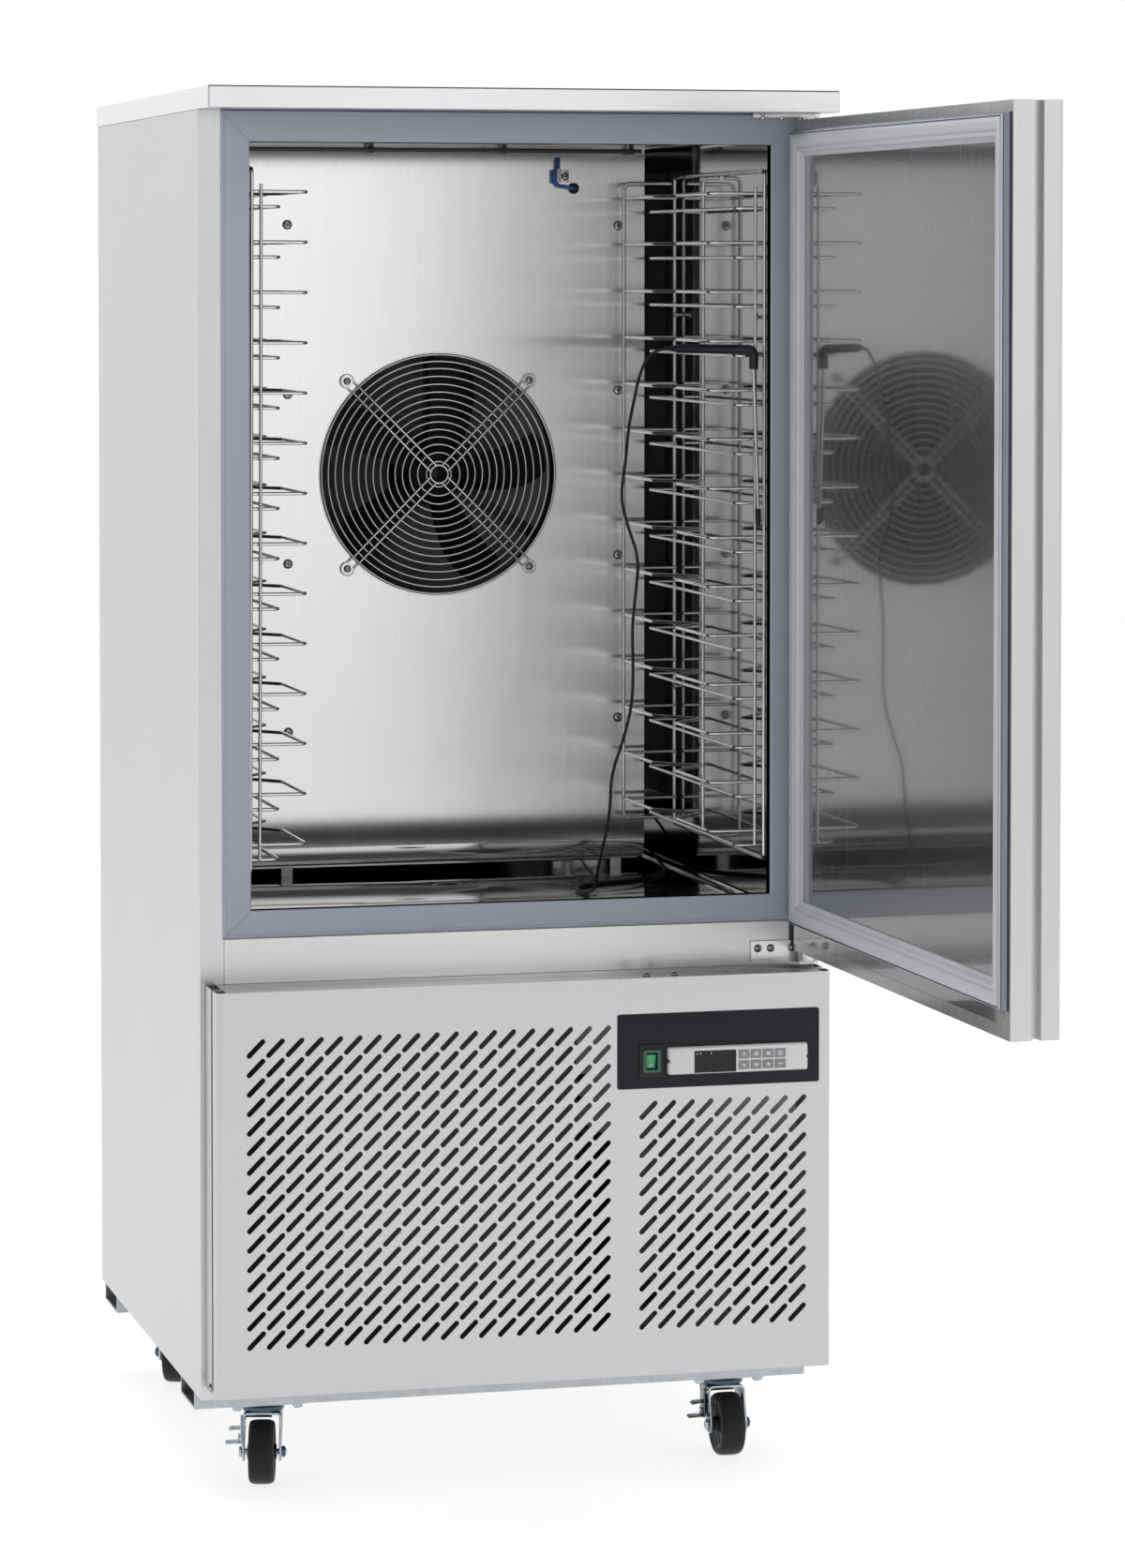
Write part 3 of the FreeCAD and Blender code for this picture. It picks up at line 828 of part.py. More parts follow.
# ================================================================= CASTORS
# the front pair trails forwards, so its forks, wheels and brakes are drawn trailing back and mirrored front to back
CAST = {"front_left": (-1, -240.0, 14.0), "front_right": (1, -240.0, 1.0), "rear_left": (-1, 348.0, 200.0), "rear_right": (1, 348.0, -14.0)}
wr, ww, tr, ar = g("wheel_radius"), g("wheel_wide"), g("castor_trail"), g("axle_radius")
zr = g("base_rail_low")
plates, bolts = [], []
for name, (sx, yy, head) in CAST.items():
    cx = sx * g("castor_x")
    cy = g("castor_front_y") if yy < 0 else g("castor_rear_y")
    pl_ = Part.makeBox(96, 80, 2.8, V(cx - 48, cy - 40, zr - 2.9))
    boss = Part.makeCylinder(24, 3.0, V(cx, cy, zr - 5.8))
    king = Part.makeCylinder(5.95, 16.0, V(cx, cy, zr - 18.8))
    cap = Part.makeCylinder(9.0, 2.6, V(cx, cy, zr - 21.6))
    p = pl_.fuse([boss, king, cap])
    for bx in (-39, 39):
        for by in (-29, 29):
            p = p.cut(Part.makeCylinder(4.2, 10, V(cx + bx, cy + by, zr - 8)))
            bolts.append(Part.makeCylinder(4.0, 12.0, V(cx + bx, cy + by, zr - 8.8 + 0.0)).fuse(
                Part.makeCylinder(6.6, 5.6, V(cx + bx, cy + by, zr - 8.6))))
    plates.append(p)
    # fork: dished head, two tapering legs and the riveted axle, turned to its heading
    rot = Rotation(V(0, 0, 1), -head)
    head_top = zr - 6.1
    d_ = Part.makeCylinder(27.0, 10.0, V(0, 0, head_top - 10.0))
    d_ = d_.cut(Part.makeCylinder(6.0, 30, V(0, 0, head_top - 20)))
    d_ = d_.cut(Part.makeCylinder(12.0, 7.0, V(0, 0, head_top - 17.3 + 0.0)))
    under = Part.makeCylinder(24.0, 6.6, V(0, 0, head_top - 10.0 - 0.01)).cut(Part.makeCylinder(6.0, 30, V(0, 0, head_top - 20)))
    d_ = d_.fuse(Part.makeBox(2 * 24.4, 44, 3.0, V(-24.4, -20, head_top - 12.0)).cut(Part.makeCylinder(12.0, 12.0, V(0, 0, head_top - 16))))
    legs = []  # the strap arms each side of the wheel
    for s in (-1, 1):
        x0 = s * 21.6 if s > 0 else s * 21.6 - 2.8
        pts = [V(x0, -22, head_top - 9.2), V(x0, 24, head_top - 9.2), V(x0, tr + 10, wr - 4), V(x0, tr + 6, wr - 11), V(x0, tr - 6, wr - 11),
               V(x0, tr - 10, wr - 4), V(x0, -22, head_top - 30)]
        legs.append(Part.Face(Part.makePolygon(pts + [pts[0]])).extrude(V(2.8, 0, 0)))
    if yy < 0:  # window in the left arm for the brake shoe
        legs[0] = legs[0].cut(Part.makeBox(4.0, 13.0, 8.2, V(-25.0, 7.2, 77.6)))
    axle = Part.makeCylinder(ar, 60.0, V(-29.0, tr, wr), V(1, 0, 0))
    nut_r = Part.makeCylinder(7.0, 5.0, V(24.5, tr, wr), V(1, 0, 0))
    nut_l = Part.makeCylinder(7.0, 3.4, V(-29.0 + 0.0, tr, wr), V(1, 0, 0))
    pivot = [Part.makeCylinder(2.4, 6.0, V(-30.0, 5.0, 55.0), V(1, 0, 0)),
             Part.makeCylinder(4.2, 1.6, V(-31.0, 5.0, 55.0), V(1, 0, 0))] if yy < 0 else []
    fork = d_.fuse(legs + [axle, nut_r, nut_l] + pivot)
    tyre = revolve_about([(ar + 0.05, -18.5), (11.0, -18.5), (11.0, -ww / 2 + 1.5), (wr - 9, -ww / 2 + 0.5), (wr - 5, -ww / 2), (wr - 1.5, -ww / 2 + 5),
                          (wr, -ww / 2 + 10), (wr, ww / 2 - 10), (wr - 1.5, ww / 2 - 5), (wr - 5, ww / 2), (wr - 9, ww / 2 - 0.5),
                          (11.0, ww / 2 - 1.5), (11.0, 18.5), (ar + 0.05, 18.5)], (0, tr, wr), (1, 0, 0))
    place = Placement(V(cx, cy, 0), rot)
    if yy < 0:
        fork, tyre = [q.mirror(V(0, 0, 0), V(0, 1, 0)) for q in (fork, tyre)]
    node("castor_fork_" + name, feature("castor_fork_" + name, fork, place))
    node("castor_wheel_" + name, feature("castor_wheel_" + name, Part.makeCompound([tyre]), place))
    if yy < 0:
        # side brake: pressed plate on a pin through the left leg, two foot tabs
        plate_ = Part.makeBox(2.2, 22, 34, V(-27.6, -6.0, 46.0))
        tab1 = Part.makeBox(16.5, 16, 2.4, V(-43.0, -3.0, 63.5))
        tab2 = Part.makeBox(21.0, 16, 2.4, V(-47.5, -3.0, 46.2))
        ear = Part.makeCylinder(7.0, 3.0, V(-27.8, 5.0, 55.0), V(1, 0, 0))
        shoe = Part.makeBox(40.0, 6.0, 2.0, V(-27.6, 10.0, 81.2))
        riser = Part.makeBox(2.2, 8.0, 8.0, V(-27.6, 8.0, 75.2))
        lever = plate_.fuse([tab1, tab2, ear, riser, shoe])
        lever = lever.cut(Part.makeCylinder(2.45, 12.0, V(-33.0, 5.0, 55.0), V(1, 0, 0)))
        lever = lever.mirror(V(0, 0, 0), V(0, 1, 0))
        node("brake_lever_" + name, feature("brake_lever_" + name, lever, place))
node("castor_plates", feature("castor_plates", Part.makeCompound(plates)))
node("castor_bolts", feature("castor_bolts", Part.makeCompound(bolts)))

# ================================================================= CORE PROBE
pzv = g("probe_z")
hr = g("handle_radius")
TAIL = (240.0, -242.8, pzv)
handle, _ = tube([TAIL, (316.0, -328.0, pzv), (315.2, -328.0, 1396.5)], [9.0], hr)
d = (V(316.0, -328.0, pzv) - V(*TAIL)).normalize()
relief = Part.makeCone(2.9, 4.6, 10.0, V(*TAIL) - d * 10.0, d)
boot = Part.makeCylinder(4.6, 3.0, V(*TAIL) - d * 1.0, d)
node("probe_handle", feature("probe_handle", handle.fuse([relief, boot])))
ntop, nlow = V(315.2, -328.0, 1396.2), V(321.0, -330.0, 1220.0)
nd = (nlow - ntop).normalize()
needle = Part.makeCone(g("needle_radius") + 0.7, g("needle_radius"), (nlow - ntop).Length, ntop, nd)
tip = Part.makeCylinder(3.5, 16.0, nlow + nd * 0.05, nd).fuse(Part.makeCone(3.5, 1.6, 5.0, nlow + nd * 16.05, nd))
node("probe_needle", feature("probe_needle", Part.makeCompound([needle, tip])))

# --- probe lead: from the grommet in the back wall, along the chamber floor, up to the handle
end = V(*TAIL) - d * 10.05
ROUTE = [(318.0, 388.2, 771.0), (318.2, 346.0, 770.0), (317.6, 300.0, 764.0), (318.6, 254.0, 754.0), (318.4, 208.0, 741.0),
         (319.6, 164.0, 728.0), (320.0, 120.0, 718.6), (315.0, 76.0, 714.4), (298.0, 34.0, 714.4), (270.0, -4.0, 714.4),
         (230.0, -28.0, 714.4), (188.0, -42.0, 714.4), (156.0, -68.0, 714.4), (141.0, -106.0, 714.4), (147.0, -144.0, 714.8),
         (150.0, -176.0, 725.0), (146.0, -198.0, 751.0), (153.0, -206.0, 788.0), (160.5, -208.0, 830.0), (162.0, -206.0, 874.0),
         (177.0, -207.5, 916.0), (190.0, -206.0, 962.0), (191.0, -208.0, 1012.0), (189.5, -206.5, 1062.0), (194.5, -208.0, 1110.0),
         (199.0, -206.0, 1152.0), (185.0, -207.0, 1190.0), (174.0, -206.0, 1230.0), (181.0, -208.0, 1278.0), (184.5, -206.5, 1318.0),
         (191.5, -207.5, 1353.0), (198.5, -206.0, 1384.0), (207.5, -209.5, 1408.5), (end.x - d.x * 18.0, end.y - d.y * 18.0, pzv),
         (end.x, end.y, end.z)]


def route_radii(pts):
    rs = []
    for i in range(1, len(pts) - 1):
        a = V(*pts[i]) - V(*pts[i - 1])
        b = V(*pts[i + 1]) - V(*pts[i])
        ang = a.getAngle(b)
        rs.append(0.45 * min(a.Length, b.Length) / math.tan(ang / 2))
    return rs


radii = route_radii(ROUTE)
lr = g("lead_radius")
lead, lead_len = tube(ROUTE, radii, lr)
node("probe_lead", feature("probe_lead", lead))
runs = [(V(*ROUTE[i + 1]) - V(*ROUTE[i])).Length for i in range(len(ROUTE) - 1)]
print("lead runs mm:", " ".join("%.0f" % r for r in runs))
print("lead radii mm:", " ".join("%.0f" % r for r in radii))
print("lead length mm: %.1f  volume/(section*length): %.4f" % (lead_len, lead.Volume / (math.pi * lr * lr * lead_len)))

# ================================================================= CHECK AND WRITE
doc.recompute()
bad = []
for o in doc.Objects:
    if any(word in ("Invalid", "Error") for word in o.State):
        bad.append("%s: %s" % (o.Name, o.State))
for name, o in NODES.items():
    s = o.Shape
    if s.isNull() or not s.isValid() or not s.Solids:
        bad.append("%s: shape null, invalid or without a solid" % name)
if bad:
    raise SystemExit("not written: " + "; ".join(bad))
if len(NODES) > 60:
    raise SystemExit("too many nodes: %d" % len(NODES))
os.makedirs("parts", exist_ok=True)
for old in os.listdir("parts"):
    if old.endswith(".step") and old[:-5] not in NODES:
        os.remove(os.path.join("parts", old))
for name, o in NODES.items():
    o.Shape.exportStep("parts/%s.step" % name)
print("nodes:", len(NODES), " solids:", sum(len(o.Shape.Solids) for o in NODES.values()))
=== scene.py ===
# Looks of the blast chiller: materials, camera, light and the detailed pieces
# that stand for plain CAD solids.  Helper lengths are in millimetres unless said.
import bpy
import bmesh
import math
import random
from mathutils import Matrix, Vector


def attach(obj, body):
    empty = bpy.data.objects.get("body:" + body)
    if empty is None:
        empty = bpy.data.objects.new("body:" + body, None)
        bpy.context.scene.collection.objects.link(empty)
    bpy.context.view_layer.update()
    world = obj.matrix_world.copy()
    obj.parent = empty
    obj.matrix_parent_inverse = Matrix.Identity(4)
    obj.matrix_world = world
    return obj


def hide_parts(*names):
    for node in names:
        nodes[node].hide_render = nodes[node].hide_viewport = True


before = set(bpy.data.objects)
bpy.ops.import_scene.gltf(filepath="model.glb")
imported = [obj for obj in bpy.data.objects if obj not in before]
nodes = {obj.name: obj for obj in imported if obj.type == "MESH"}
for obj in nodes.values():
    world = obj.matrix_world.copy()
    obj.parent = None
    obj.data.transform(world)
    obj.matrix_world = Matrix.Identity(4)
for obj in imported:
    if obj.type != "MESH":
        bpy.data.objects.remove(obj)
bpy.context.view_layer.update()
MM = 0.001
random.seed(7)
scene = bpy.context.scene

# ------------------------------------------------------------------ camera
# Fitted to the photograph: a long lens from the left front, axis above the middle of the frame.
cam_data = bpy.data.cameras.new("camera")
cam = bpy.data.objects.new("camera", cam_data)
scene.collection.objects.link(cam)
scene.camera = cam
YAW, PITCH = math.radians(14.587), math.radians(2.2)
look = Vector((math.sin(YAW) * math.cos(PITCH), math.cos(YAW) * math.cos(PITCH), -math.sin(PITCH)))
cam.location = (-1.4829, -6.2794, 1.5169)
cam.rotation_mode = "QUATERNION"
cam.rotation_quaternion = look.to_track_quat("-Z", "Y")
cam_data.sensor_width = 36.0
cam_data.lens = 112.89
cam_data.shift_y = -0.2049
cam_data.clip_start, cam_data.clip_end = 0.1, 60.0
cam_data.dof.use_dof = False


# ------------------------------------------------------------------ materials
class Mat:
    """A node material built up step by step around one Principled shader."""

    def __init__(self, name):
        self.m = bpy.data.materials.new(name)
        self.m.use_nodes = True
        self.nt = self.m.node_tree
        self.nt.nodes.clear()
        out = self.nt.nodes.new("ShaderNodeOutputMaterial")
        self.b = self.nt.nodes.new("ShaderNodeBsdfPrincipled")
        self.nt.links.new(self.b.outputs[0], out.inputs[0])
        self.co = self.nt.nodes.new("ShaderNodeTexCoord")

    def set(self, **kw):
        for k, v in kw.items():
            key = {"base": "Base Color", "rough": "Roughness", "metal": "Metallic", "aniso": "Anisotropic", "coat": "Coat Weight",
                   "coat_rough": "Coat Roughness", "trans": "Transmission Weight", "ior": "IOR", "alpha": "Alpha", "spec": "Specular IOR Level",
                   "sss": "Subsurface Weight", "emit": "Emission Strength", "emit_col": "Emission Color", "sheen": "Sheen Weight"}[k]
            if key in ("Base Color", "Emission Color"):
                v = (v[0], v[1], v[2], 1.0)
            self.b.inputs[key].default_value = v
        return self

    def node(self, kind, **props):
        n = self.nt.nodes.new(kind)
        for k, v in props.items():
            setattr(n, k, v)
        return n

    def link(self, a, b):
        self.nt.links.new(a, b)

    def noise(self, scale, detail=2.0, rough=0.5, stretch=(1, 1, 1), turn=(0, 0, 0)):
        mp = self.node("ShaderNodeMapping")
        mp.inputs["Scale"].default_value = stretch
        mp.inputs["Rotation"].default_value = turn
        self.link(self.co.outputs["Object"], mp.inputs["Vector"])
        n = self.node("ShaderNodeTexNoise")
        n.inputs["Scale"].default_value = scale
        n.inputs["Detail"].default_value = detail
        n.inputs["Roughness"].default_value = rough
        self.link(mp.outputs[0], n.inputs["Vector"])
        return n.outputs["Fac"]

    def ranged(self, fac, lo, hi, a=0.25, b=0.75):
        r = self.node("ShaderNodeMapRange")
        for k, v in zip(("From Min", "From Max", "To Min", "To Max"), (a, b, lo, hi)):
            r.inputs[k].default_value = v
        self.link(fac, r.inputs["Value"])
        return r.outputs["Result"]

    def add(self, x, y, op="ADD", k=None):
        n = self.node("ShaderNodeMath", operation=op)
        for i, v in enumerate((x, y)):
            if isinstance(v, (int, float)):
                n.inputs[i].default_value = v
            else:
                self.link(v, n.inputs[i])
        return n.outputs[0]

    def colour(self, fac, c0, c1):
        n = self.node("ShaderNodeMix", data_type="RGBA")
        n.inputs[6].default_value = (*c0, 1)
        n.inputs[7].default_value = (*c1, 1)
        self.link(fac, n.inputs[0])
        self.link(n.outputs[2], self.b.inputs["Base Color"])
        return self

    def bump(self, height, distance, strength=1.0, edge=0.0):
        n = self.node("ShaderNodeBump")
        n.inputs["Distance"].default_value = distance
        n.inputs["Strength"].default_value = strength
        self.link(height, n.inputs["Height"])
        if edge:
            bv = self.node("ShaderNodeBevel", samples=3)
            bv.inputs["Radius"].default_value = edge
            self.link(bv.outputs[0], n.inputs["Normal"])
        self.link(n.outputs[0], self.b.inputs["Normal"])
        return self


def brushed(name, grain="z", tone=(0.60, 0.60, 0.595), rough=0.26, aniso=0.55, smudge=0.05, edge=0.0009, grit=1.0, wave=0.0, lines=0.08, veil=0.0):
    """Brushed stainless sheet: fine scratches along the grain, long faint streaks, soft handling marks."""
    m = Mat(name)
    fine = {"z": (1.0, 1.0, 0.012), "x": (0.012, 1.0, 1.0), "y": (1.0, 0.012, 1.0)}[grain]
    long = {"z": (1.0, 1.0, 0.004), "x": (0.004, 1.0, 1.0), "y": (1.0, 0.004, 1.0)}[grain]
    scratch = m.noise(950.0, 2.0, 0.6, fine)
    streak = m.noise(210.0, 3.0, 0.65, long)
    cloud = m.noise(5.5, 3.0, 0.55)
    m.set(metal=1.0, aniso=aniso)
    r = m.add(m.ranged(scratch, -0.03 * grit, 0.04 * grit), m.ranged(streak, -0.008, 0.012))
    r = m.add(r, m.ranged(cloud, -smudge / 2, smudge))
    if veil:
        r = m.add(r, m.ranged(m.noise(3600.0, 0.0, 0.5), 0.0, veil, 0.48, 0.58))
    m.link(m.add(r, rough), m.b.inputs["Roughness"])
    t = m.add(m.ranged(streak, 0.0, 0.35), m.ranged(cloud, 0.0, 0.65))
    m.colour(t, [c * 0.965 for c in tone], [min(1, c * 1.03) for c in tone])
    h = m.add(m.add(scratch, 0.45 * grit, "MULTIPLY"), m.add(streak, lines, "MULTIPLY"))
    if wave:
        h = m.add(h, m.add(m.noise(2.3, 1.0, 0.4), wave, "MULTIPLY"))
    m.bump(h, 0.000018, 1.0, edge)
    tan = m.node("ShaderNodeCombineXYZ")
    v = {"z": (0.0, 0.0, 0.0), "x": (0.0, 0.0, 1.0), "y": (1.0, 0.0, 0.0)}[grain]
    if grain == "z":
        tg = m.node("ShaderNodeTangent", direction_type="RADIAL", axis="Z")
        m.link(tg.outputs[0], m.b.inputs["Tangent"])
    else:
        for i in range(3):
            tan.inputs[i].default_value = v[i]
        m.link(tan.outputs[0], m.b.inputs["Tangent"])
    return m.m


def wire_metal(name, tone=(0.72, 0.72, 0.72), rough=0.13):
    """Electropolished wire: bright, with faint drawing lines and dull patches."""
    m = Mat(name)
    n = m.noise(320.0, 3.0, 0.6)
    c = m.noise(28.0, 2.0, 0.5)
    m.set(metal=1.0)
    m.link(m.add(m.ranged(c, rough - 0.03, rough + 0.1), m.ranged(n, -0.02, 0.03)), m.b.inputs["Roughness"])
    m.colour(m.ranged(c, 0.0, 1.0), [k * 0.86 for k in tone], tone)
    m.bump(n, 0.00002)
    return m.m


def zinc_metal(name, tone=(0.50, 0.56, 0.62), rough=0.2, spangle=0.5, edge=0.0007):
    """Bright zinc plate with a cold cast and slightly cloudy lustre."""
    m = Mat(name)
    v = m.node("ShaderNodeTexVoronoi")
    v.inputs["Scale"].default_value = 160.0
    m.link(m.co.outputs["Object"], v.inputs["Vector"])
    c = m.noise(60.0, 4.0, 0.6)
    m.set(metal=1.0)
    m.link(m.add(m.ranged(c, rough - 0.05, rough + 0.14), 0.0), m.b.inputs["Roughness"])
    m.colour(m.add(m.ranged(c, 0.0, 0.6), m.add(v.outputs["Distance"], spangle, "MULTIPLY")), [k * 0.72 for k in tone], [min(1, k * 1.1) for k in tone])
    m.bump(m.noise(420.0, 3.0, 0.6), 0.00003, 1.0, edge)
    return m.m


def plastic(name, tone, rough=0.4, grain=0.00004, scale=900.0, var=0.12, coat=0.0, spec=0.5, stretch=(1, 1, 1), edge=0.0006):
    """Moulded plastic, rubber or paint: fine texture with slight colour and sheen drift."""
    m = Mat(name)
    n = m.noise(scale, 3.0, 0.6, stretch)
    c = m.noise(14.0, 3.0, 0.5)
    m.set(coat=coat, spec=spec, coat_rough=0.1)
    m.link(m.add(m.ranged(c, rough - 0.04, rough + 0.07), m.ranged(n, -0.02, 0.03)), m.b.inputs["Roughness"])
    m.colour(m.add(m.ranged(c, 0.0, 0.6), m.ranged(n, 0.0, 0.4)), [k * (1 - var) for k in tone], [min(1, k * (1 + var)) for k in tone])
    m.bump(n, grain, 1.0, edge)
    return m.m


def fins(name, tone=(0.42, 0.43, 0.44), axis="x", pitch=0.0022):
    """Stack of thin heat-exchanger fins seen edge on, the gaps between the fins painted dark as shade."""
    m = Mat(name)
    mp = m.node("ShaderNodeMapping")
    m.link(m.co.outputs["Object"], mp.inputs["Vector"])
    w = m.node("ShaderNodeTexWave", wave_type="BANDS", bands_direction=axis.upper(), wave_profile="SAW")
    w.inputs["Scale"].default_value = 1.0 / pitch / 6.2832 * 3.14
    w.inputs["Distortion"].default_value = 0.15
    m.link(mp.outputs[0], w.inputs["Vector"])
    c = m.noise(18.0, 3.0, 0.6)
    m.set(metal=0.9)
    m.link(m.ranged(c, 0.35, 0.6), m.b.inputs["Roughness"])
    # painted shade: the colour runs from a fifth of the tone in the gaps to the full tone on the fin edges
    m.colour(m.add(w.outputs["Fac"], m.ranged(c, 0.0, 0.5)), [k * 0.2 for k in tone], tone)
    m.bump(w.outputs["Fac"], 0.0008)
    return m.m


STEEL_Z = brushed("steel_upright_grain", "z", (0.62, 0.615, 0.61), rough=0.25, wave=0.0)
STEEL_SIDE = brushed("steel_side_grain", "z", (0.625, 0.62, 0.635), rough=0.30, grit=1.1)
STEEL_TOP = brushed("steel_worktop", "x", (0.74, 0.735, 0.745), rough=0.24)
STEEL_X = brushed("steel_level_grain", "x", (0.62, 0.615, 0.61), rough=0.24)
# painted light and shade: the cover sheet takes a brighter copy of the stainless than the other sheets, and its curved
# foot a darker copy
STEEL_COVER = brushed("steel_cover", "z", (0.84, 0.835, 0.835), rough=0.165, aniso=0.98, smudge=0.015, grit=0.35, wave=1.6)
STEEL_FOOT_SHADE = brushed("steel_cover_foot_painted_shade", "x", (0.58, 0.575, 0.57), rough=0.05, aniso=0.0, smudge=0.01, grit=0.15, wave=0.6)
STEEL_LINER = brushed("steel_lining", "z", (0.46, 0.455, 0.45), rough=0.06, aniso=0.0, smudge=0.01, grit=0.08, wave=0.35, lines=0.03)
STEEL_FLOOR = brushed("steel_chamber_floor", "x", (0.70, 0.695, 0.69), rough=0.028, aniso=0.0, smudge=0.008, grit=0.05, wave=0.2, lines=0.02)
STEEL_DOOR = brushed("steel_door_inside", "z", (0.54, 0.538, 0.53), rough=0.04, aniso=0.0, smudge=0.01, grit=0.1, wave=0.3, lines=0.02, veil=0.22)
STEEL_PANEL = brushed("steel_machine_panel", "z", (0.57, 0.56, 0.575), rough=0.28, lines=0.04, grit=0.7)
WIRE = wire_metal("polished_wire", (0.74, 0.735, 0.72), 0.12)
WIRE_DULL = wire_metal("guard_wire", (0.66, 0.66, 0.65), 0.16)
SCREW = wire_metal("screw_steel", (0.50, 0.50, 0.49), 0.13)
# painted shade: a dark copy of the screw steel for the cross recesses and a thin ring round each head
SCREW_SHADE = wire_metal("screw_recess_painted_shade", (0.10, 0.10, 0.10), 0.45)
HINGE = wire_metal("hinge_steel", (0.70, 0.70, 0.69), 0.16)
ZINC = zinc_metal("zinc_plate")
# painted shade: a dark copy of the zinc plate, used for the castor faces drawn as shaded
ZINC_SHADE = zinc_metal("zinc_plate_painted_shade", (0.075, 0.10, 0.125), 0.14)
RAIL = zinc_metal("galvanised_rail", (0.50, 0.52, 0.54), 0.3, 0.25)
BREAKER = plastic("breaker_pvc", (0.300, 0.320, 0.378), 0.36, 0.00002, 300.0, 0.025)
JOINT_SHADE = plastic("joint_shadow", (0.05, 0.055, 0.065), 0.6, 0.00002, 300.0, 0.05)
GASKET = plastic("door_seal", (0.46, 0.465, 0.50), 0.42, 0.00003, 600.0, 0.07)
# painted shade: two darker copies of the seal rubber, a mid one for its flanks and a near-black one for the shade in
# its folds
SEAL_FLANK_SHADE = plastic("door_seal_flank_painted_shade", (0.23, 0.245, 0.30), 0.40, 0.00003, 600.0, 0.07)
SEAL_FOLD_SHADE = plastic("door_seal_fold_painted_shade", (0.035, 0.038, 0.060), 0.5, 0.00003, 600.0, 0.1)
FOAM = plastic("rigid_foam", (0.66, 0.60, 0.38), 0.85, 0.0004, 260.0, 0.15)
BLACK = plastic("black_plastic", (0.008, 0.008, 0.009), 0.36, 0.00004, 900.0, 0.3, spec=0.35)
FAN_BLACK = plastic("fan_black", (0.0035, 0.0035, 0.0045), 0.45, 0.00005, 500.0, 0.3, spec=0.16)
PLATE = plastic("control_plate_sheet", (0.0095, 0.0092, 0.0135), 0.36, 0.00003, 1500.0, 0.08, spec=0.22, edge=0.0004)
BEZEL = plastic("controller_silver", (0.56, 0.55, 0.545), 0.34, 0.00003, 1600.0, 0.04, spec=0.5)
KEYTOP = plastic("key_grey", (0.20, 0.20, 0.215), 0.38, 0.00004, 1500.0, 0.1)
MARK = plastic("pale_marks", (0.80, 0.80, 0.82), 0.5, 0.00001, 900.0, 0.03)
SCREEN = plastic("display_smoked", (0.008, 0.008, 0.009), 0.14, 0.000004, 500.0, 0.2, spec=0.3)
TREAD = plastic("wheel_black", (0.006, 0.006, 0.007), 0.5, 0.00012, 330.0, 0.3, spec=0.28)
LEAD = plastic("lead_rubber", (0.007, 0.007, 0.008), 0.42, 0.00003, 800.0, 0.3, spec=0.3)
HANDLE = plastic("probe_grip", (0.010, 0.010, 0.016), 0.38, 0.00006, 600.0, 0.25, spec=0.4)
BLUE = plastic("sensor_blue", (0.006, 0.075, 0.30), 0.32, 0.00003, 700.0, 0.2, coat=0.3)
CLIP = plastic("clip_grey", (0.52, 0.53, 0.55), 0.35, 0.00003, 700.0, 0.08)
COIL = fins("coil_fins")
# painted shade: the condenser fins take a far darker tone than the evaporator fins, for the shade behind the louvre
# slots
COND_SHADE = fins("condenser_fins_painted_shade", (0.16, 0.16, 0.165))
PAINT = plastic("black_paint", (0.008, 0.008, 0.009), 0.34, 0.00008, 260.0, 0.25, spec=0.3)
TUBE = plastic("brown_tube", (0.035, 0.028, 0.02), 0.3, 0.00003, 600.0, 0.2)
DRAIN = plastic("drain_black", (0.03, 0.03, 0.032), 0.35, 0.00004, 600.0, 0.2)


def green_plastic(name, tone, rough, trans):
    m = Mat(name)
    n = m.noise(700.0, 2.0, 0.5)
    c = m.noise(40.0, 2.0, 0.5)
    m.set(coat=0.5, trans=trans, ior=1.46, sss=0.0)
    m.link(m.add(m.ranged(c, rough, rough + 0.06), 0.0), m.b.inputs["Roughness"])
    m.colour(m.add(c, m.ranged(n, 0.0, 0.2)), [k * 0.8 for k in tone], tone)
    m.bump(n, 0.00001, 1.0, 0.0006)
    return m.m


GUARD_GREEN = green_plastic("rocker_guard_green", (0.008, 0.085, 0.045), 0.12, 0.25)
ROCK_GREEN = green_plastic("rocker_green", (0.03, 0.42, 0.13), 0.2, 0.05)


def paint(name, mat):
    o = nodes[name]
    o.data.materials.clear()
    o.data.materials.append(mat)
    return o


for node_name, mat in {
        "outer_shell": STEEL_SIDE, "worktop": STEEL_TOP, "cabinet_foam": FOAM, "inner_liner": STEEL_LINER, "breaker_frame": BREAKER,
        "cross_rail": STEEL_X, "evaporator_cover": STEEL_COVER, "evaporator_fan_motor": PAINT, "evaporator_coil": COIL,
        "ceiling_tube": TUBE, "air_sensor": BLUE, "lead_grommets": LEAD, "drain_cup": DRAIN, "louvre_panel": STEEL_PANEL,
        "control_plate": PLATE, "controller_housing": BEZEL, "display_window": SCREEN, "switch_housing": BLACK, "power_rocker": ROCK_GREEN,
        "base_tray": STEEL_X, "base_rails": RAIL, "compressor": PAINT, "condenser_coil": COND_SHADE, "condenser_shroud": PAINT,
        "condenser_fan": WIRE_DULL, "power_inlet": BLACK, "hinge_bracket_top": HINGE, "hinge_bracket_bottom": HINGE,
        "pan_head_screws": SCREW, "castor_plates": ZINC, "castor_bolts": ZINC, "probe_handle": HANDLE, "probe_needle": WIRE,
        "probe_lead": LEAD, "door_outer_skin": STEEL_Z, "door_inner_panel": STEEL_DOOR, "door_foam": FOAM, "door_gasket": GASKET,
        "rack_left": WIRE, "rack_right": WIRE, "fan_guard": WIRE_DULL, "evaporator_fan": FAN_BLACK}.items():
    paint(node_name, mat)
for i in range(1, 9):
    paint("key_%d" % i, KEYTOP)
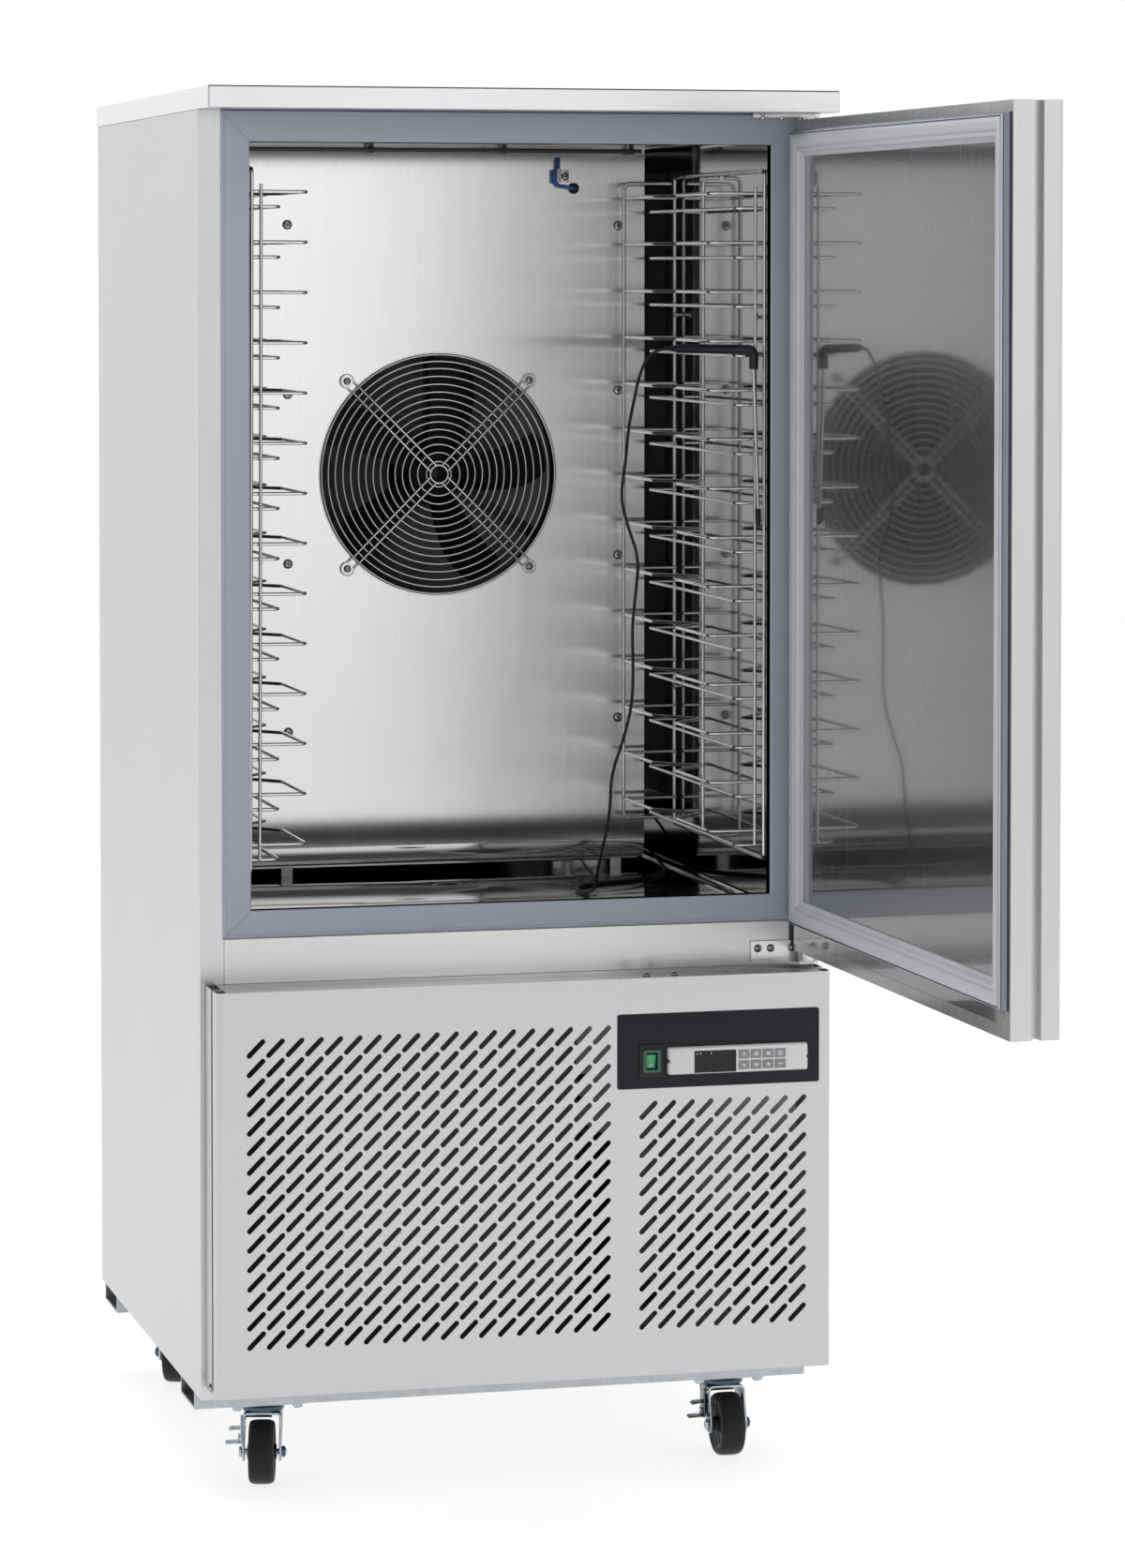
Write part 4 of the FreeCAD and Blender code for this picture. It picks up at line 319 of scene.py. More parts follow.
for c in ("front_left", "front_right", "rear_left", "rear_right"):
    paint("castor_fork_" + c, ZINC)
    paint("castor_wheel_" + c, TREAD)
for c in ("front_left", "front_right"):
    paint("brake_lever_" + c, ZINC)


# ------------------------------------------------------------------ mesh helpers
def place(obj, body, stands_for=()):
    if stands_for:
        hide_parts(*stands_for)
    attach(obj, body)
    return obj


def mesh_from(name, verts, faces, mats, smooth=True, matrix=None):
    me = bpy.data.meshes.new(name)
    me.from_pydata([Vector(v) * MM for v in verts], [], faces)
    for m in (mats if isinstance(mats, (list, tuple)) else [mats]):
        me.materials.append(m)
    if matrix is not None:
        me.transform(matrix)
    me.validate()
    o = bpy.data.objects.new(name, me)
    scene.collection.objects.link(o)
    if smooth:
        me.polygons.foreach_set("use_smooth", [True] * len(me.polygons))
    return o


def shade_by_angle(o, deg=35.0):
    """Smooth faces with sharp edges kept where the surface turns more than deg."""
    bm = bmesh.new()
    bm.from_mesh(o.data)
    lim = math.radians(deg)
    for e in bm.edges:
        if len(e.link_faces) == 2:
            e.smooth = e.calc_face_angle(0.0) < lim
        else:
            e.smooth = True
    for f in bm.faces:
        f.smooth = True
    bm.to_mesh(o.data)
    bm.free()
    return o


def joined(name, objs):
    """One object from several."""
    for o in bpy.context.selected_objects:
        o.select_set(False)
    for o in objs:
        o.select_set(True)
    bpy.context.view_layer.objects.active = objs[0]
    bpy.ops.object.join()
    o = bpy.context.view_layer.objects.active
    o.name = name
    o.data.name = name
    o.select_set(False)
    return o


def applied(o):
    """The object's modifiers put into its mesh."""
    dg = bpy.context.evaluated_depsgraph_get()
    me = bpy.data.meshes.new_from_object(o.evaluated_get(dg))
    old = o.data
    if o.type == "CURVE":
        n = bpy.data.objects.new(o.name + "_m", me)
        scene.collection.objects.link(n)
        me.transform(o.matrix_world)
        name = o.name
        bpy.data.objects.remove(o)
        n.name = name
        return n
    o.modifiers.clear()
    o.data = me
    bpy.data.meshes.remove(old)
    return o


def bevelled(o, width, segments=3, angle=35.0):
    b = o.modifiers.new("bevel", "BEVEL")
    b.width = width * MM
    b.segments = segments
    b.limit_method = "ANGLE"
    b.angle_limit = math.radians(angle)
    b.harden_normals = False
    o = applied(o)
    return shade_by_angle(o, 40.0)


def block(name, lo, hi, mat, bevel=0.8, matrix=None, segments=3):
    """A bar or plate with rounded edges, between two corners."""
    (x0, y0, z0), (x1, y1, z1) = lo, hi
    v = [(x, y, z) for x in (x0, x1) for y in (y0, y1) for z in (z0, z1)]
    f = [(0, 1, 3, 2), (4, 6, 7, 5), (0, 4, 5, 1), (2, 3, 7, 6), (0, 2, 6, 4), (1, 5, 7, 3)]
    o = mesh_from(name, v, f, mat, False)
    if bevel:
        o = bevelled(o, bevel, segments)
    if matrix is not None:
        o.data.transform(matrix)
    return o


def prism(name, outline, y0, y1, mat, bevel=0.5, plane="xz", segments=3):
    """Plate over an outline in a plane, between two depths."""
    n = len(outline)
    if plane == "xz":
        v = [(a, y0, b) for a, b in outline] + [(a, y1, b) for a, b in outline]
    elif plane == "yz":
        v = [(y0, a, b) for a, b in outline] + [(y1, a, b) for a, b in outline]
    else:
        v = [(a, b, y0) for a, b in outline] + [(a, b, y1) for a, b in outline]
    f = [tuple(range(n)), tuple(range(2 * n - 1, n - 1, -1))] + [(i, i + n, (i + 1) % n + n, (i + 1) % n) for i in range(n)]
    o = mesh_from(name, v, f, mat, False)
    bm = bmesh.new()
    bm.from_mesh(o.data)
    bmesh.ops.recalc_face_normals(bm, faces=bm.faces)
    bm.to_mesh(o.data)
    bm.free()
    if bevel:
        o = bevelled(o, bevel, segments)
    return o


def lathe(name, profile, base, axis, mat, seg=48):
    """Turned piece: (radius, height) profile about an axis through base."""
    ax = Vector(axis).normalized()
    q = Vector((0, 0, 1)).rotation_difference(ax).to_matrix().to_4x4()
    q.translation = Vector(base)
    v, f = [], []
    for r, h in profile:
        for k in range(seg):
            a = 2 * math.pi * k / seg
            v.append(q @ Vector((r * math.cos(a), r * math.sin(a), h)))
    n = len(profile)
    for i in range(n - 1):
        for k in range(seg):
            f.append((i * seg + k, i * seg + (k + 1) % seg, (i + 1) * seg + (k + 1) % seg, (i + 1) * seg + k))
    o = mesh_from(name, v, f, mat)
    bm = bmesh.new()
    bm.from_mesh(o.data)
    bmesh.ops.remove_doubles(bm, verts=bm.verts, dist=1e-7)
    bmesh.ops.recalc_face_normals(bm, faces=bm.faces)
    bm.to_mesh(o.data)
    bm.free()
    return shade_by_angle(o, 38.0)


def bent(points, radii, step=9.0, closed=False):
    """Centre line of a rigid bent rod: straight bars joined by arcs."""
    P = [Vector(p) for p in points]
    n = len(P)
    idx = range(n) if closed else range(1, n - 1)
    out = [] if closed else [P[0]]
    for c, i in enumerate(idx):
        a, b, d = P[i - 1], P[i], P[(i + 1) % n]
        u, w = (b - a).normalized(), (d - b).normalized()
        ang = u.angle(w)
        r = radii[c] if isinstance(radii, (list, tuple)) else radii
        if ang < 1e-3 or r <= 0:
            out.append(b)
            continue
        t = r * math.tan(ang / 2)
        p1 = b - u * t
        nrm = (w - u * u.dot(w)).normalized()
        ctr = p1 + nrm * r
        k = max(2, int(math.degrees(ang) / step + 0.999))
        for j in range(k + 1):
            th = ang * j / k
            out.append(ctr - nrm * (r * math.cos(th)) + u * (r * math.sin(th)))
    if not closed:
        out.append(P[-1])
    return out


def rods(name, lines, radius, mat, res=5, radii=None, as_mesh=True):
    """Round rods: each line is (points, closed)."""
    cu = bpy.data.curves.new(name, "CURVE")
    cu.dimensions = "3D"
    cu.bevel_depth = radius * MM
    cu.bevel_resolution = res
    cu.use_fill_caps = True
    for li, (pts, closed) in enumerate(lines):
        sp = cu.splines.new("POLY")
        sp.points.add(len(pts) - 1)
        for i, p in enumerate(pts):
            sp.points[i].co = (*(Vector(p) * MM), 1.0)
            if radii:
                sp.points[i].radius = radii[li][i]
        sp.use_cyclic_u = closed
        sp.use_smooth = True
    cu.materials.append(mat)
    o = bpy.data.objects.new(name, cu)
    scene.collection.objects.link(o)
    if as_mesh:
        bpy.context.view_layer.update()
        o = applied(o)
        shade_by_angle(o, 50.0)
    return o


def blobs(name, spots, radius, mat, seg=10):
    """Small weld beads."""
    bm = bmesh.new()
    for p in spots:
        s = radius * (0.9 + 0.25 * random.random())
        bmesh.ops.create_uvsphere(bm, u_segments=seg, v_segments=6, radius=s * MM, matrix=Matrix.Translation(Vector(p) * MM))
    me = bpy.data.meshes.new(name)
    bm.to_mesh(me)
    bm.free()
    me.materials.append(mat)
    me.polygons.foreach_set("use_smooth", [True] * len(me.polygons))
    o = bpy.data.objects.new(name, me)
    scene.collection.objects.link(o)
    return o


def cut_with(o, *tools):
    """Boolean cut, tools removed after."""
    for t in tools:
        b = o.modifiers.new("cut", "BOOLEAN")
        b.operation = "DIFFERENCE"
        b.object = t
        b.solver = "EXACT"
        b.material_mode = "TRANSFER"
    bpy.context.view_layer.update()
    o = applied(o)
    for t in tools:
        bpy.data.objects.remove(t)
    return o


# ------------------------------------------------------------------ probe lead
# The lead leaves its grommet low in the back wall, comes forward beside the cover,
# lies on the chamber floor, then rises to the probe hooked in the right rack.
ROUTE = [(318.0, 388.2, 771.0), (318.2, 346.0, 770.0), (317.6, 300.0, 764.0), (318.6, 254.0, 754.0), (318.4, 208.0, 741.0),
         (319.6, 164.0, 728.0), (320.0, 120.0, 718.6), (315.0, 76.0, 714.4), (298.0, 34.0, 714.4), (270.0, -4.0, 714.4),
         (230.0, -28.0, 714.4), (188.0, -42.0, 714.4), (156.0, -68.0, 714.4), (141.0, -106.0, 714.4), (147.0, -144.0, 714.8),
         (150.0, -176.0, 725.0), (146.0, -198.0, 751.0), (153.0, -206.0, 788.0), (160.5, -208.0, 830.0), (162.0, -206.0, 874.0),
         (177.0, -207.5, 916.0), (190.0, -206.0, 962.0), (191.0, -208.0, 1012.0), (189.5, -206.5, 1062.0), (194.5, -208.0, 1110.0),
         (199.0, -206.0, 1152.0), (185.0, -207.0, 1190.0), (174.0, -206.0, 1230.0), (181.0, -208.0, 1278.0), (184.5, -206.5, 1318.0),
         (191.5, -207.5, 1353.0), (198.5, -206.0, 1384.0), (207.5, -209.5, 1408.5), (221.35, -221.88, 1421.5), (233.31, -235.31, 1421.5)]
cu = bpy.data.curves.new("probe_lead_rubber", "CURVE")
cu.dimensions = "3D"
cu.bevel_depth = 0.002
cu.bevel_resolution = 4
cu.resolution_u = 10
cu.use_fill_caps = True
sp = cu.splines.new("NURBS")
sp.points.add(len(ROUTE) - 1)
for i, p in enumerate(ROUTE):
    sp.points[i].co = (p[0] * MM, p[1] * MM, p[2] * MM, 1.0)
sp.order_u = 3
sp.use_endpoint_u = True
sp.use_smooth = True
cu.materials.append(LEAD)
lead = bpy.data.objects.new("probe_lead_rubber", cu)
scene.collection.objects.link(lead)
place(lead, "cabinet", ["probe_lead"])

# ------------------------------------------------------------------ probe
TAIL = Vector((240.0, -242.8, 1421.5))
ELBOW = Vector((316.0, -328.0, 1421.5))
d = (ELBOW - TAIL).normalized()
relief = [lathe("relief_sleeve", [(2.05, -19.0), (2.3, -18.6), (2.9, -11.0), (4.7, -0.5), (4.75, 0.2), (2.05, 0.2), (2.05, -19.0)], TAIL, d, HANDLE, 32)]
for k in range(5):
    r0 = 2.75 + 0.40 * k
    relief.append(lathe("relief_ring", [(r0 - 0.7, -0.7), (r0, -0.5), (r0 + 0.15, 0.0), (r0, 0.5), (r0 - 0.7, 0.7)], TAIL + d * (-15.0 + 3.0 * k), d, HANDLE, 32))
relief = joined("probe_strain_relief", relief)
place(relief, "cabinet")
top, low = Vector((315.2, -328.0, 1396.2)), Vector((321.0, -330.0, 1220.0))
nd = (low - top).normalized()
L = (low - top).length
needle = lathe("probe_needle_rod", [(0.0, 0.0), (2.6, 0.0), (2.7, 0.6), (2.65, 20), (2.4, 80), (2.1, 140), (2.0, L - 0.1), (0.0, L)], top, nd, WIRE, 32)
capm = lathe("probe_tip_cap", [(0.0, 0.2), (3.1, 0.2), (3.5, 0.9), (3.5, 14.5), (3.2, 17.5), (2.3, 20.2), (1.2, 21.0), (0.0, 21.1)], low, nd, BLACK, 32)
place(joined("probe_needle_rod", [needle, capm]), "cabinet", ["probe_needle"])

# ------------------------------------------------------------------ racks
def rack_lines(s):
    xw, xl, xs, yf, yr, lo, hi = 332.0, 261.0, 295.5, -320.0, 95.0, 775.0, 1647.0
    m, l = 2.6, 2.2
    thick, thin, beads = [], [], []
    thick.append((bent([(xw, yf, lo), (xw, yf, hi), (xw, yr, hi), (xw, yr, lo)], 8.0, 9.0, True), True))
    xe = xw - 2 * m - 0.05
    thick.append((bent([(xe, yr, hi - 9), (xl, yr, hi - 9), (xl, yr, lo + 9), (xe, yr, lo + 9)], 9.0), False))
    zt, zb = hi - 2 * m - 0.05, lo + 2 * m + 0.05
    thick.append((bent([(xw + 3, -108.0, zt), (313.0, -108.0, zt), (313.0, -108.0, zb), (xw + 3, -108.0, zb)], 8.0), False))
    y0, y1 = yf + m + l + 0.05, yr - m - l - 0.05
    rod_y = y0 - 2 * l - 0.05
    thin.append(([(320.0, rod_y, 792.0), (320.0, rod_y, 1628.0)], False))
    for k in range(14):
        z = 1618.4 - 62.14 * k
        thin.append((bent([(xw + 1, y0, z), (xl, y0, z), (xl, -165.0, z), (309.85, -108.0, z), (xl, -52.0, z), (xl, y1, z), (xw + 1, y1, z)],
                          [9.0, 9.0, 6.0, 9.0, 9.0], 11.0), False))
        thin.append((bent([(xw + 1, y0, z - 18.6), (xs, y0, z - 18.6), (xs, y1, z - 18.6), (xw + 1, y1, z - 18.6)], 9.0, 11.0), False))
        beads += [(310.3, -108.0 + 2.0, z), (310.3, -108.0 - 2.0, z)]
        for zz in (z, z - 18.6):
            beads += [(320.0, (y0 + rod_y) / 2, zz), (xw, yf + 3.2, zz), (xw, yr - 3.2, zz)]
        beads += [(xl + 4.0, yr - 2.6, z)]
    # the left rack hangs 3 mm out from its wall and leans by a quarter of a degree
    lean = math.radians(0.258)

    def flip(pts):
        if s > 0:
            return [tuple(p) for p in pts]
        out = []
        for p in pts:
            x, z = 3.0 - p[0] + 330.0, p[2] - 1211.0
            out.append((x * math.cos(lean) + z * math.sin(lean) - 330.0, p[1], z * math.cos(lean) - x * math.sin(lean) + 1211.0))
        return out
    return [(flip(p), c) for p, c in thick], [(flip(p), c) for p, c in thin], flip(beads)


for side, s in (("right", 1), ("left", -1)):
    thick, thin, beads = rack_lines(s)
    o = joined("rack_%s_wire" % side, [rods("rack_a", thick, 2.6, WIRE, 4), rods("rack_b", thin, 2.2, WIRE, 4), blobs("rack_c", beads, 2.0, WIRE)])
    place(o, "cabinet", ["rack_" + side])

# ------------------------------------------------------------------ fan guard and fan
FX, FZ, CV = 12.6, 1249.0, 128.0
ring_y, spoke_y = CV - 3.3, CV - 5.9
rings = []
for r in (17.0, 29.0, 40.0, 50.0, 60.0, 70.0, 80.0, 90.0, 100.0, 110.0, 120.5, 131.0, 141.5, 151.0, 160.0):
    rings.append(([(FX + r * math.cos(a), ring_y, FZ + r * math.sin(a)) for a in [2 * math.pi * k / 112 for k in range(112)]], True))
spokes, gbeads, washers = [], [], []
for sx in (-1, 1):
    for sz in (-1, 1):
        ang = math.atan2(sz, sx)
        dr = Vector((math.cos(ang), 0, math.sin(ang)))
        nn = Vector((-math.sin(ang), 0, math.cos(ang)))
        c = Vector((FX, spoke_y, FZ))
        up = Vector((0, 4.2, 0))
        p = [c + dr * 12 + nn * 5.6, c + dr * 158 + nn * 5.6, c + dr * 165 + nn * 5.8 + up]
        tip = c + dr * 176.8 + up
        for k in range(0, 17):
            a = math.radians(132 - 264 * k / 16)
            p.append(tip + dr * (8.2 * math.cos(a)) + nn * (8.2 * math.sin(a)))
        p += [c + dr * 165 - nn * 5.8 + up, c + dr * 158 - nn * 5.6, c + dr * 12 - nn * 5.6]
        washers.append(lathe("gw", [(2.5, -0.7), (7.4, -0.7), (7.8, -0.3), (7.8, 0.4), (2.5, 0.4), (2.5, -0.7)], (FX + sx * 125.0, CV - 2.4, FZ + sz * 125.0), (0, 1, 0), WIRE, 32))
        spokes.append((p, False))
        for r in (17.0, 29.0, 60.0, 90.0, 120.5, 151.0, 160.0):
            for q in (-5.6, 5.6):
                gbeads.append(c + dr * math.sqrt(r * r - 31.0) + nn * q + Vector((0, 1.2, 0)))
hub = [([(FX + 12.0 * math.cos(a), spoke_y, FZ + 12.0 * math.sin(a)) for a in [2 * math.pi * k / 40 for k in range(40)]], True)]
guard = joined("fan_guard_wire", [rods("g1", rings, 1.3, WIRE_DULL, 3), rods("g2", spokes + hub, 1.65, WIRE, 4), blobs("g3", gbeads, 1.3, WIRE)] + washers)
place(guard, "cabinet", ["fan_guard"])


def fan_blades(name, radius, hub_r, hub_len, count, y0, centre, hand, mat, bore, width):
    """Axial fan with swept, twisted, cambered blades on a stepped hub."""
    objs = []
    cx, cz = centre
    ym = y0 + hub_len / 2
    prof = [(bore, 0), (hub_r - 9, 0), (hub_r - 5, 1.2), (hub_r - 1, 3.0), (hub_r, 5.5), (hub_r, hub_len - 1), (hub_r - 1, hub_len), (bore, hub_len), (bore, 0)]
    objs.append(lathe(name + "_hub", prof, (cx, y0, cz), (0, 1, 0), mat, 48))
    NU, NV = 14, 10
    for b in range(count):
        v, f = [], []
        for side in (-1, 1):
            for i in range(NU + 1):
                t = i / NU
                r = hub_r - 1.5 + (radius - hub_r + 1.5) * t
                ang_w = width * (0.55 + 0.6 * t - 0.18 * t * t) / max(r, 1) * 60.0
                sweep = math.radians(10.0) * t * t
                pitch = math.radians(34.0 - 14.0 * t)
                for j in range(NV + 1):
                    s = j / NV * 2 - 1
                    edge = 1.0 - 0.12 * max(0.0, t - 0.75) * 4 * abs(s) ** 3
                    a = 2 * math.pi * b / count + sweep + ang_w * s * edge / 2
                    rr = r * (1.0 - 0.035 * abs(s) ** 3 * t)
                    depth = hand * (ang_w / 2 * s * r * math.tan(pitch)) * 0.72
                    depth += hand * 2.5 * (1 - s * s)
                    depth = max(-16.5, min(16.5, depth))
                    v.append((cx + rr * math.cos(a), ym + depth + side * 1.0, cz + rr * math.sin(a)))
        W = NV + 1
        S = (NU + 1) * W
        for i in range(NU):
            for j in range(NV):
                a = i * W + j
                f.append((a, a + 1, a + W + 1, a + W))
                f.append((S + a, S + a + W, S + a + W + 1, S + a + 1))
        rim = [j for j in range(W)] + [i * W + NV for i in range(1, NU + 1)] + [NU * W + j for j in range(NV - 1, -1, -1)] + [i * W for i in range(NU - 1, 0, -1)]
        for k in range(len(rim)):
            a, c = rim[k], rim[(k + 1) % len(rim)]
            f.append((a, c, S + c, S + a))
        o = mesh_from(name + "_b%d" % b, v, f, mat)
        bm = bmesh.new()
        bm.from_mesh(o.data)
        bmesh.ops.recalc_face_normals(bm, faces=bm.faces)
        bm.to_mesh(o.data)
        bm.free()
        objs.append(shade_by_angle(o, 45))
    return joined(name, objs)


place(fan_blades("evaporator_fan_blades", 155.5, 34.0, 26.0, 5, 143.0, (FX, FZ), 1, FAN_BLACK, 6.05, 1.15), "evaporator_fan", ["evaporator_fan"])
place(fan_blades("condenser_fan_blades", 145.5, 30.0, 26.0, 5, -226.0, (-130.0, 360.0), -1, WIRE_DULL, 5.05, 1.1), "condenser_fan", ["condenser_fan"])

# ------------------------------------------------------------------ screws
def cross_screw(w):
    """Pan head with a cross recess, head seating at the origin and facing +Z; the recess and a thin ring round the head
    are painted dark as shade.
    """
    o = lathe("screw_t", [(0, -8.4), (1.9, -8.4), (2.35, -7.6), (2.35, 0.0), (4.2 * w, 0.0), (4.6 * w, 0.45), (4.55 * w, 1.0), (4.1 * w, 2.0), (3.3 * w, 2.75),
                          (2.0 * w, 3.15), (0, 3.25)], (0, 0, 0), (0, 0, 1), SCREW, 32)
    # painted shadow: a thin dark ring round the head stands in for its contact shadow
    ring = lathe("screw_r", [(4.55 * w, 0.0), (5.15 * w, 0.0), (5.15 * w, 0.05), (4.55 * w, 0.05), (4.55 * w, 0.0)], (0, 0, 0), (0, 0, 1), SCREW_SHADE, 32)
    a = block("screw_x", (-2.7 * w, -0.6 * w, 1.2), (2.7 * w, 0.6 * w, 5.0), SCREW_SHADE, 0)
    b = block("screw_y", (-0.6 * w, -2.7 * w, 1.2), (0.6 * w, 2.7 * w, 5.0), SCREW_SHADE, 0)
    o = joined("screw_t", [cut_with(o, a, b), ring])
    return shade_by_angle(o, 35)


template, wide_template = cross_screw(1.0), cross_screw(1.28)
heads = []
for z in (1582.0, 1357.0, 1131.5, 907.0):
    heads.append(((-192.5, CV - 0.05, z), (0, -1, 0)))
for z in (1582.0, 1360.0, 1137.5, 917.0):
    heads.append(((262.0, CV - 0.05, z), (0, -1, 0)))
heads += [((FX + sx * 125.0, CV - 3.4, FZ + sz * 125.0), (0, -1, 0)) for sx in (-1, 1) for sz in (-1, 1)]
heads += [((187.8, CV - 1.7, 1647.7), (0, -1, 0))]
heads += [((x, -344.8, 663.5), (0, -1, 0)) for x in (317.0, 334.0, 362.0)]
heads += [((x, -352.0, 1713.3), (0, 0, -1)) for x in (320.0, 345.0)]
heads += [((x, -398.0, 642.05), (0, 0, 1)) for x in (156.0, 192.0)]
heads += [((-392.05, -372.0, 150.0), (-1, 0, 0)), ((392.05, -372.0, 150.0), (1, 0, 0))]
heads += [((sx * 328.95, sy, sz), (-sx, 0, 0)) for sx in (-1, 1) for sy in (-298.0, 77.0) for sz in (1462.0, 962.0)]
bm = bmesh.new()
for (p, ax) in heads:
    q = Vector((0, 0, 1)).rotation_difference(Vector(ax)).to_matrix().to_4x4()
    q = Matrix.Translation(Vector(p) * MM) @ q @ Matrix.Rotation(random.random() * 3.0, 4, "Z")
    n0 = len(bm.verts)
    bm.from_mesh((wide_template if abs(p[1] - CV + 0.05) < 0.01 else template).data)
    bm.verts.ensure_lookup_table()
    bmesh.ops.transform(bm, matrix=q, verts=bm.verts[n0:])
me = bpy.data.meshes.new("screw_heads")
bm.to_mesh(me)
bm.free()
me.materials.append(SCREW)
me.materials.append(SCREW_SHADE)
screws = bpy.data.objects.new("cross_recess_screws", me)
scene.collection.objects.link(screws)
bpy.data.objects.remove(template)
bpy.data.objects.remove(wide_template)
shade_by_angle(screws, 35)
place(screws, "cabinet", ["pan_head_screws"])

# ------------------------------------------------------------------ chamber lining with its creased floor
LH, LF, LR, LB, LY = 338.0, 712.0, 1692.0, 391.0, -339.4
R = 9.0


def liner():
    v, f = [], []

    def quad(*idx):
        f.append(tuple(idx))
    # ring of a section in x-z with rounded lower and upper corners, swept from front to back
    sec = []
    for cx, cz, a0 in ((LH - R, LF + R, -90), (LH - R, LR - R, 0), (-LH + R, LR - R, 90), (-LH + R, LF + R, 180)):
        for k in range(6):
            a = math.radians(a0 + 90.0 * k / 5)
            sec.append((cx + R * math.cos(a), cz + R * math.sin(a)))
    ys = [LY, LY + 0.4] + [LY + 30 + (LB - LY - 30) * k / 6 for k in range(7)]
    n = len(sec)
    for y in ys:
        for x, z in sec:
            v.append((x, y, z))
    for i in range(len(ys) - 1):
        for k in range(n):
            a, b = i * n + k, i * n + (k + 1) % n
            if k == n - 1:
                continue  # the floor strip is made apart
            quad(a, b, b + n, a + n)
    # floor: four sloping triangles folded towards the drain, its rim ring cut out
    fl = [(-LH + R, LY), (LH - R, LY), (LH - R, LB), (-LH + R, LB)]
    base = len(v)
    for x, y in fl:
        v.append((x, y, LF + 0.9))
    cen = []
    for q in range(24):
        a = 2 * math.pi * q / 24 - math.pi * 3 / 4
        cen.append(len(v))
        v.append((12.5 * math.cos(a), 15.0 + 12.5 * math.sin(a), LF - 0.45))
    floor_faces = []
    for side in range(4):
        seg = [cen[(side * 6 + j) % 24] for j in range(7)]
        a, b = base + side, base + (side + 1) % 4
        floor_faces.append(len(f))
        f.append((a, b, seg[3]))
        for j in range(3):
            floor_faces += [len(f), len(f) + 1]
            f.append((a, seg[j + 1], seg[j]))
            f.append((b, seg[6 - j], seg[5 - j]))
    # back wall
    f.append(tuple((len(ys) - 1) * n + k for k in range(n)))
    # front flange
    fb = len(v)
    for x, z in ((-362, 704), (362, 704), (362, 1700), (-362, 1700)):
        v.append((x, LY, z))
    corner = {0: 0, 1: 1, 2: 2, 3: 3}
    order = [(0, 5), (6, 11), (12, 17), (18, 23)]   # right-low, right-high, left-high, left-low
    outer = [fb + 1, fb + 2, fb + 3, fb + 0]
    for c, (a, b) in enumerate(order):
        for k in range(a, b):
            f.append((k, k + 1, outer[c]))
        f.append((b, (b + 1) % n, outer[(c + 1) % 4], outer[c]))
    o = mesh_from("chamber_lining", v, f, [STEEL_LINER, STEEL_FLOOR])
    for k in floor_faces:
        o.data.polygons[k].material_index = 1
    bm = bmesh.new()
    bm.from_mesh(o.data)
    bmesh.ops.remove_doubles(bm, verts=bm.verts, dist=1e-6)
    bm.to_mesh(o.data)
    bm.free()
    return shade_by_angle(o, 0.2)


lining = liner()
hole = lathe("lead_ring", [(6.6, -0.25), (9.5, -0.25), (9.8, 0.05), (6.6, 0.05)], (318.0, LB - 0.3, 771.0), (0, -1, 0), STEEL_LINER, 32)
lining = joined("chamber_lining", [lining, hole])
place(lining, "cabinet", ["inner_liner"])
cup = lathe("drain_flange", [(8.2, -60.0), (9.6, -60.0), (9.6, -3.4), (12.0, -2.2), (21.0, -1.9), (22.6, -1.0), (22.4, -0.2), (20.5, 0.5), (13.5, 0.2), (11.6, -1.0), (8.2, -5.0), (8.2, -60.0)],
            (0, 15, LF - 0.4), (0, 0, 1), DRAIN, 48)
bars = [block("drain_bar_%d" % k, (-10.5, 15 - 0.7 + 4.2 * (k - 2), LF - 3.4), (10.5, 15 + 0.7 + 4.2 * (k - 2), LF - 1.4), DRAIN, 0.4) for k in range(5)]
place(joined("drain_flange", [cup] + bars), "cabinet", ["drain_cup"])

# ------------------------------------------------------------------ door-opening frame: four mitred profiles
def opening_frame():
    ox, oz0, oz1, ix, iz0, iz1 = 370.2, 698.0, 1717.0, 334.0, 732.0, 1679.0
    outer = [(-ox, oz0), (ox, oz0), (ox, oz1), (-ox, oz1)]
    inner = [(-ix, iz0), (ix, iz0), (ix, iz1), (-ix, iz1)]
    prof = [(0.0, -339.9), (0.0, -341.6), (0.02, -342.2), (0.035, -342.45), (0.115, -342.5), (0.125, -342.2), (0.14, -342.2), (0.15, -342.5), (0.5, -342.62), (0.9, -342.5),
            (0.97, -342.2), (0.995, -341.4), (1.0, -340.0), (1.0, -324.6), (0.985, -324.0), (0.955, -324.0), (0.945, -325.0), (0.945, -338.0)]
    parts = []
    # the second pass is a dark sheet sunk behind the profiles, a painted shadow seen through the mitre gaps
    for gap, sink, mat in ((0.22, 0.0, BREAKER), (0.0, 0.5, JOINT_SHADE)):
        for side in range(4):
            a0, a1 = Vector(outer[side]), Vector(outer[(side + 1) % 4])
            b0, b1 = Vector(inner[side]), Vector(inner[(side + 1) % 4])
            run = (a1 - a0).normalized()
            v, f = [], []
            for t, y in prof:
                p0, p1 = a0.lerp(b0, t) + run * gap, a1.lerp(b1, t) - run * gap
                v += [(p0.x, y + sink, p0.y), (p1.x, y + sink, p1.y)]
            n = len(prof)
            f = [(2 * i, 2 * i + 1, 2 * i + 3, 2 * i + 2) for i in range(n - 1)] + [(2 * n - 2, 2 * n - 1, 1, 0)]
            o = mesh_from("of", v, f, mat)
            bm = bmesh.new()
            bm.from_mesh(o.data)
            bmesh.ops.recalc_face_normals(bm, faces=bm.faces)
            bm.to_mesh(o.data)
            bm.free()
            parts.append(shade_by_angle(o, 32))
    return joined("opening_frame_profiles", parts)


place(opening_frame(), "cabinet", ["breaker_frame"])

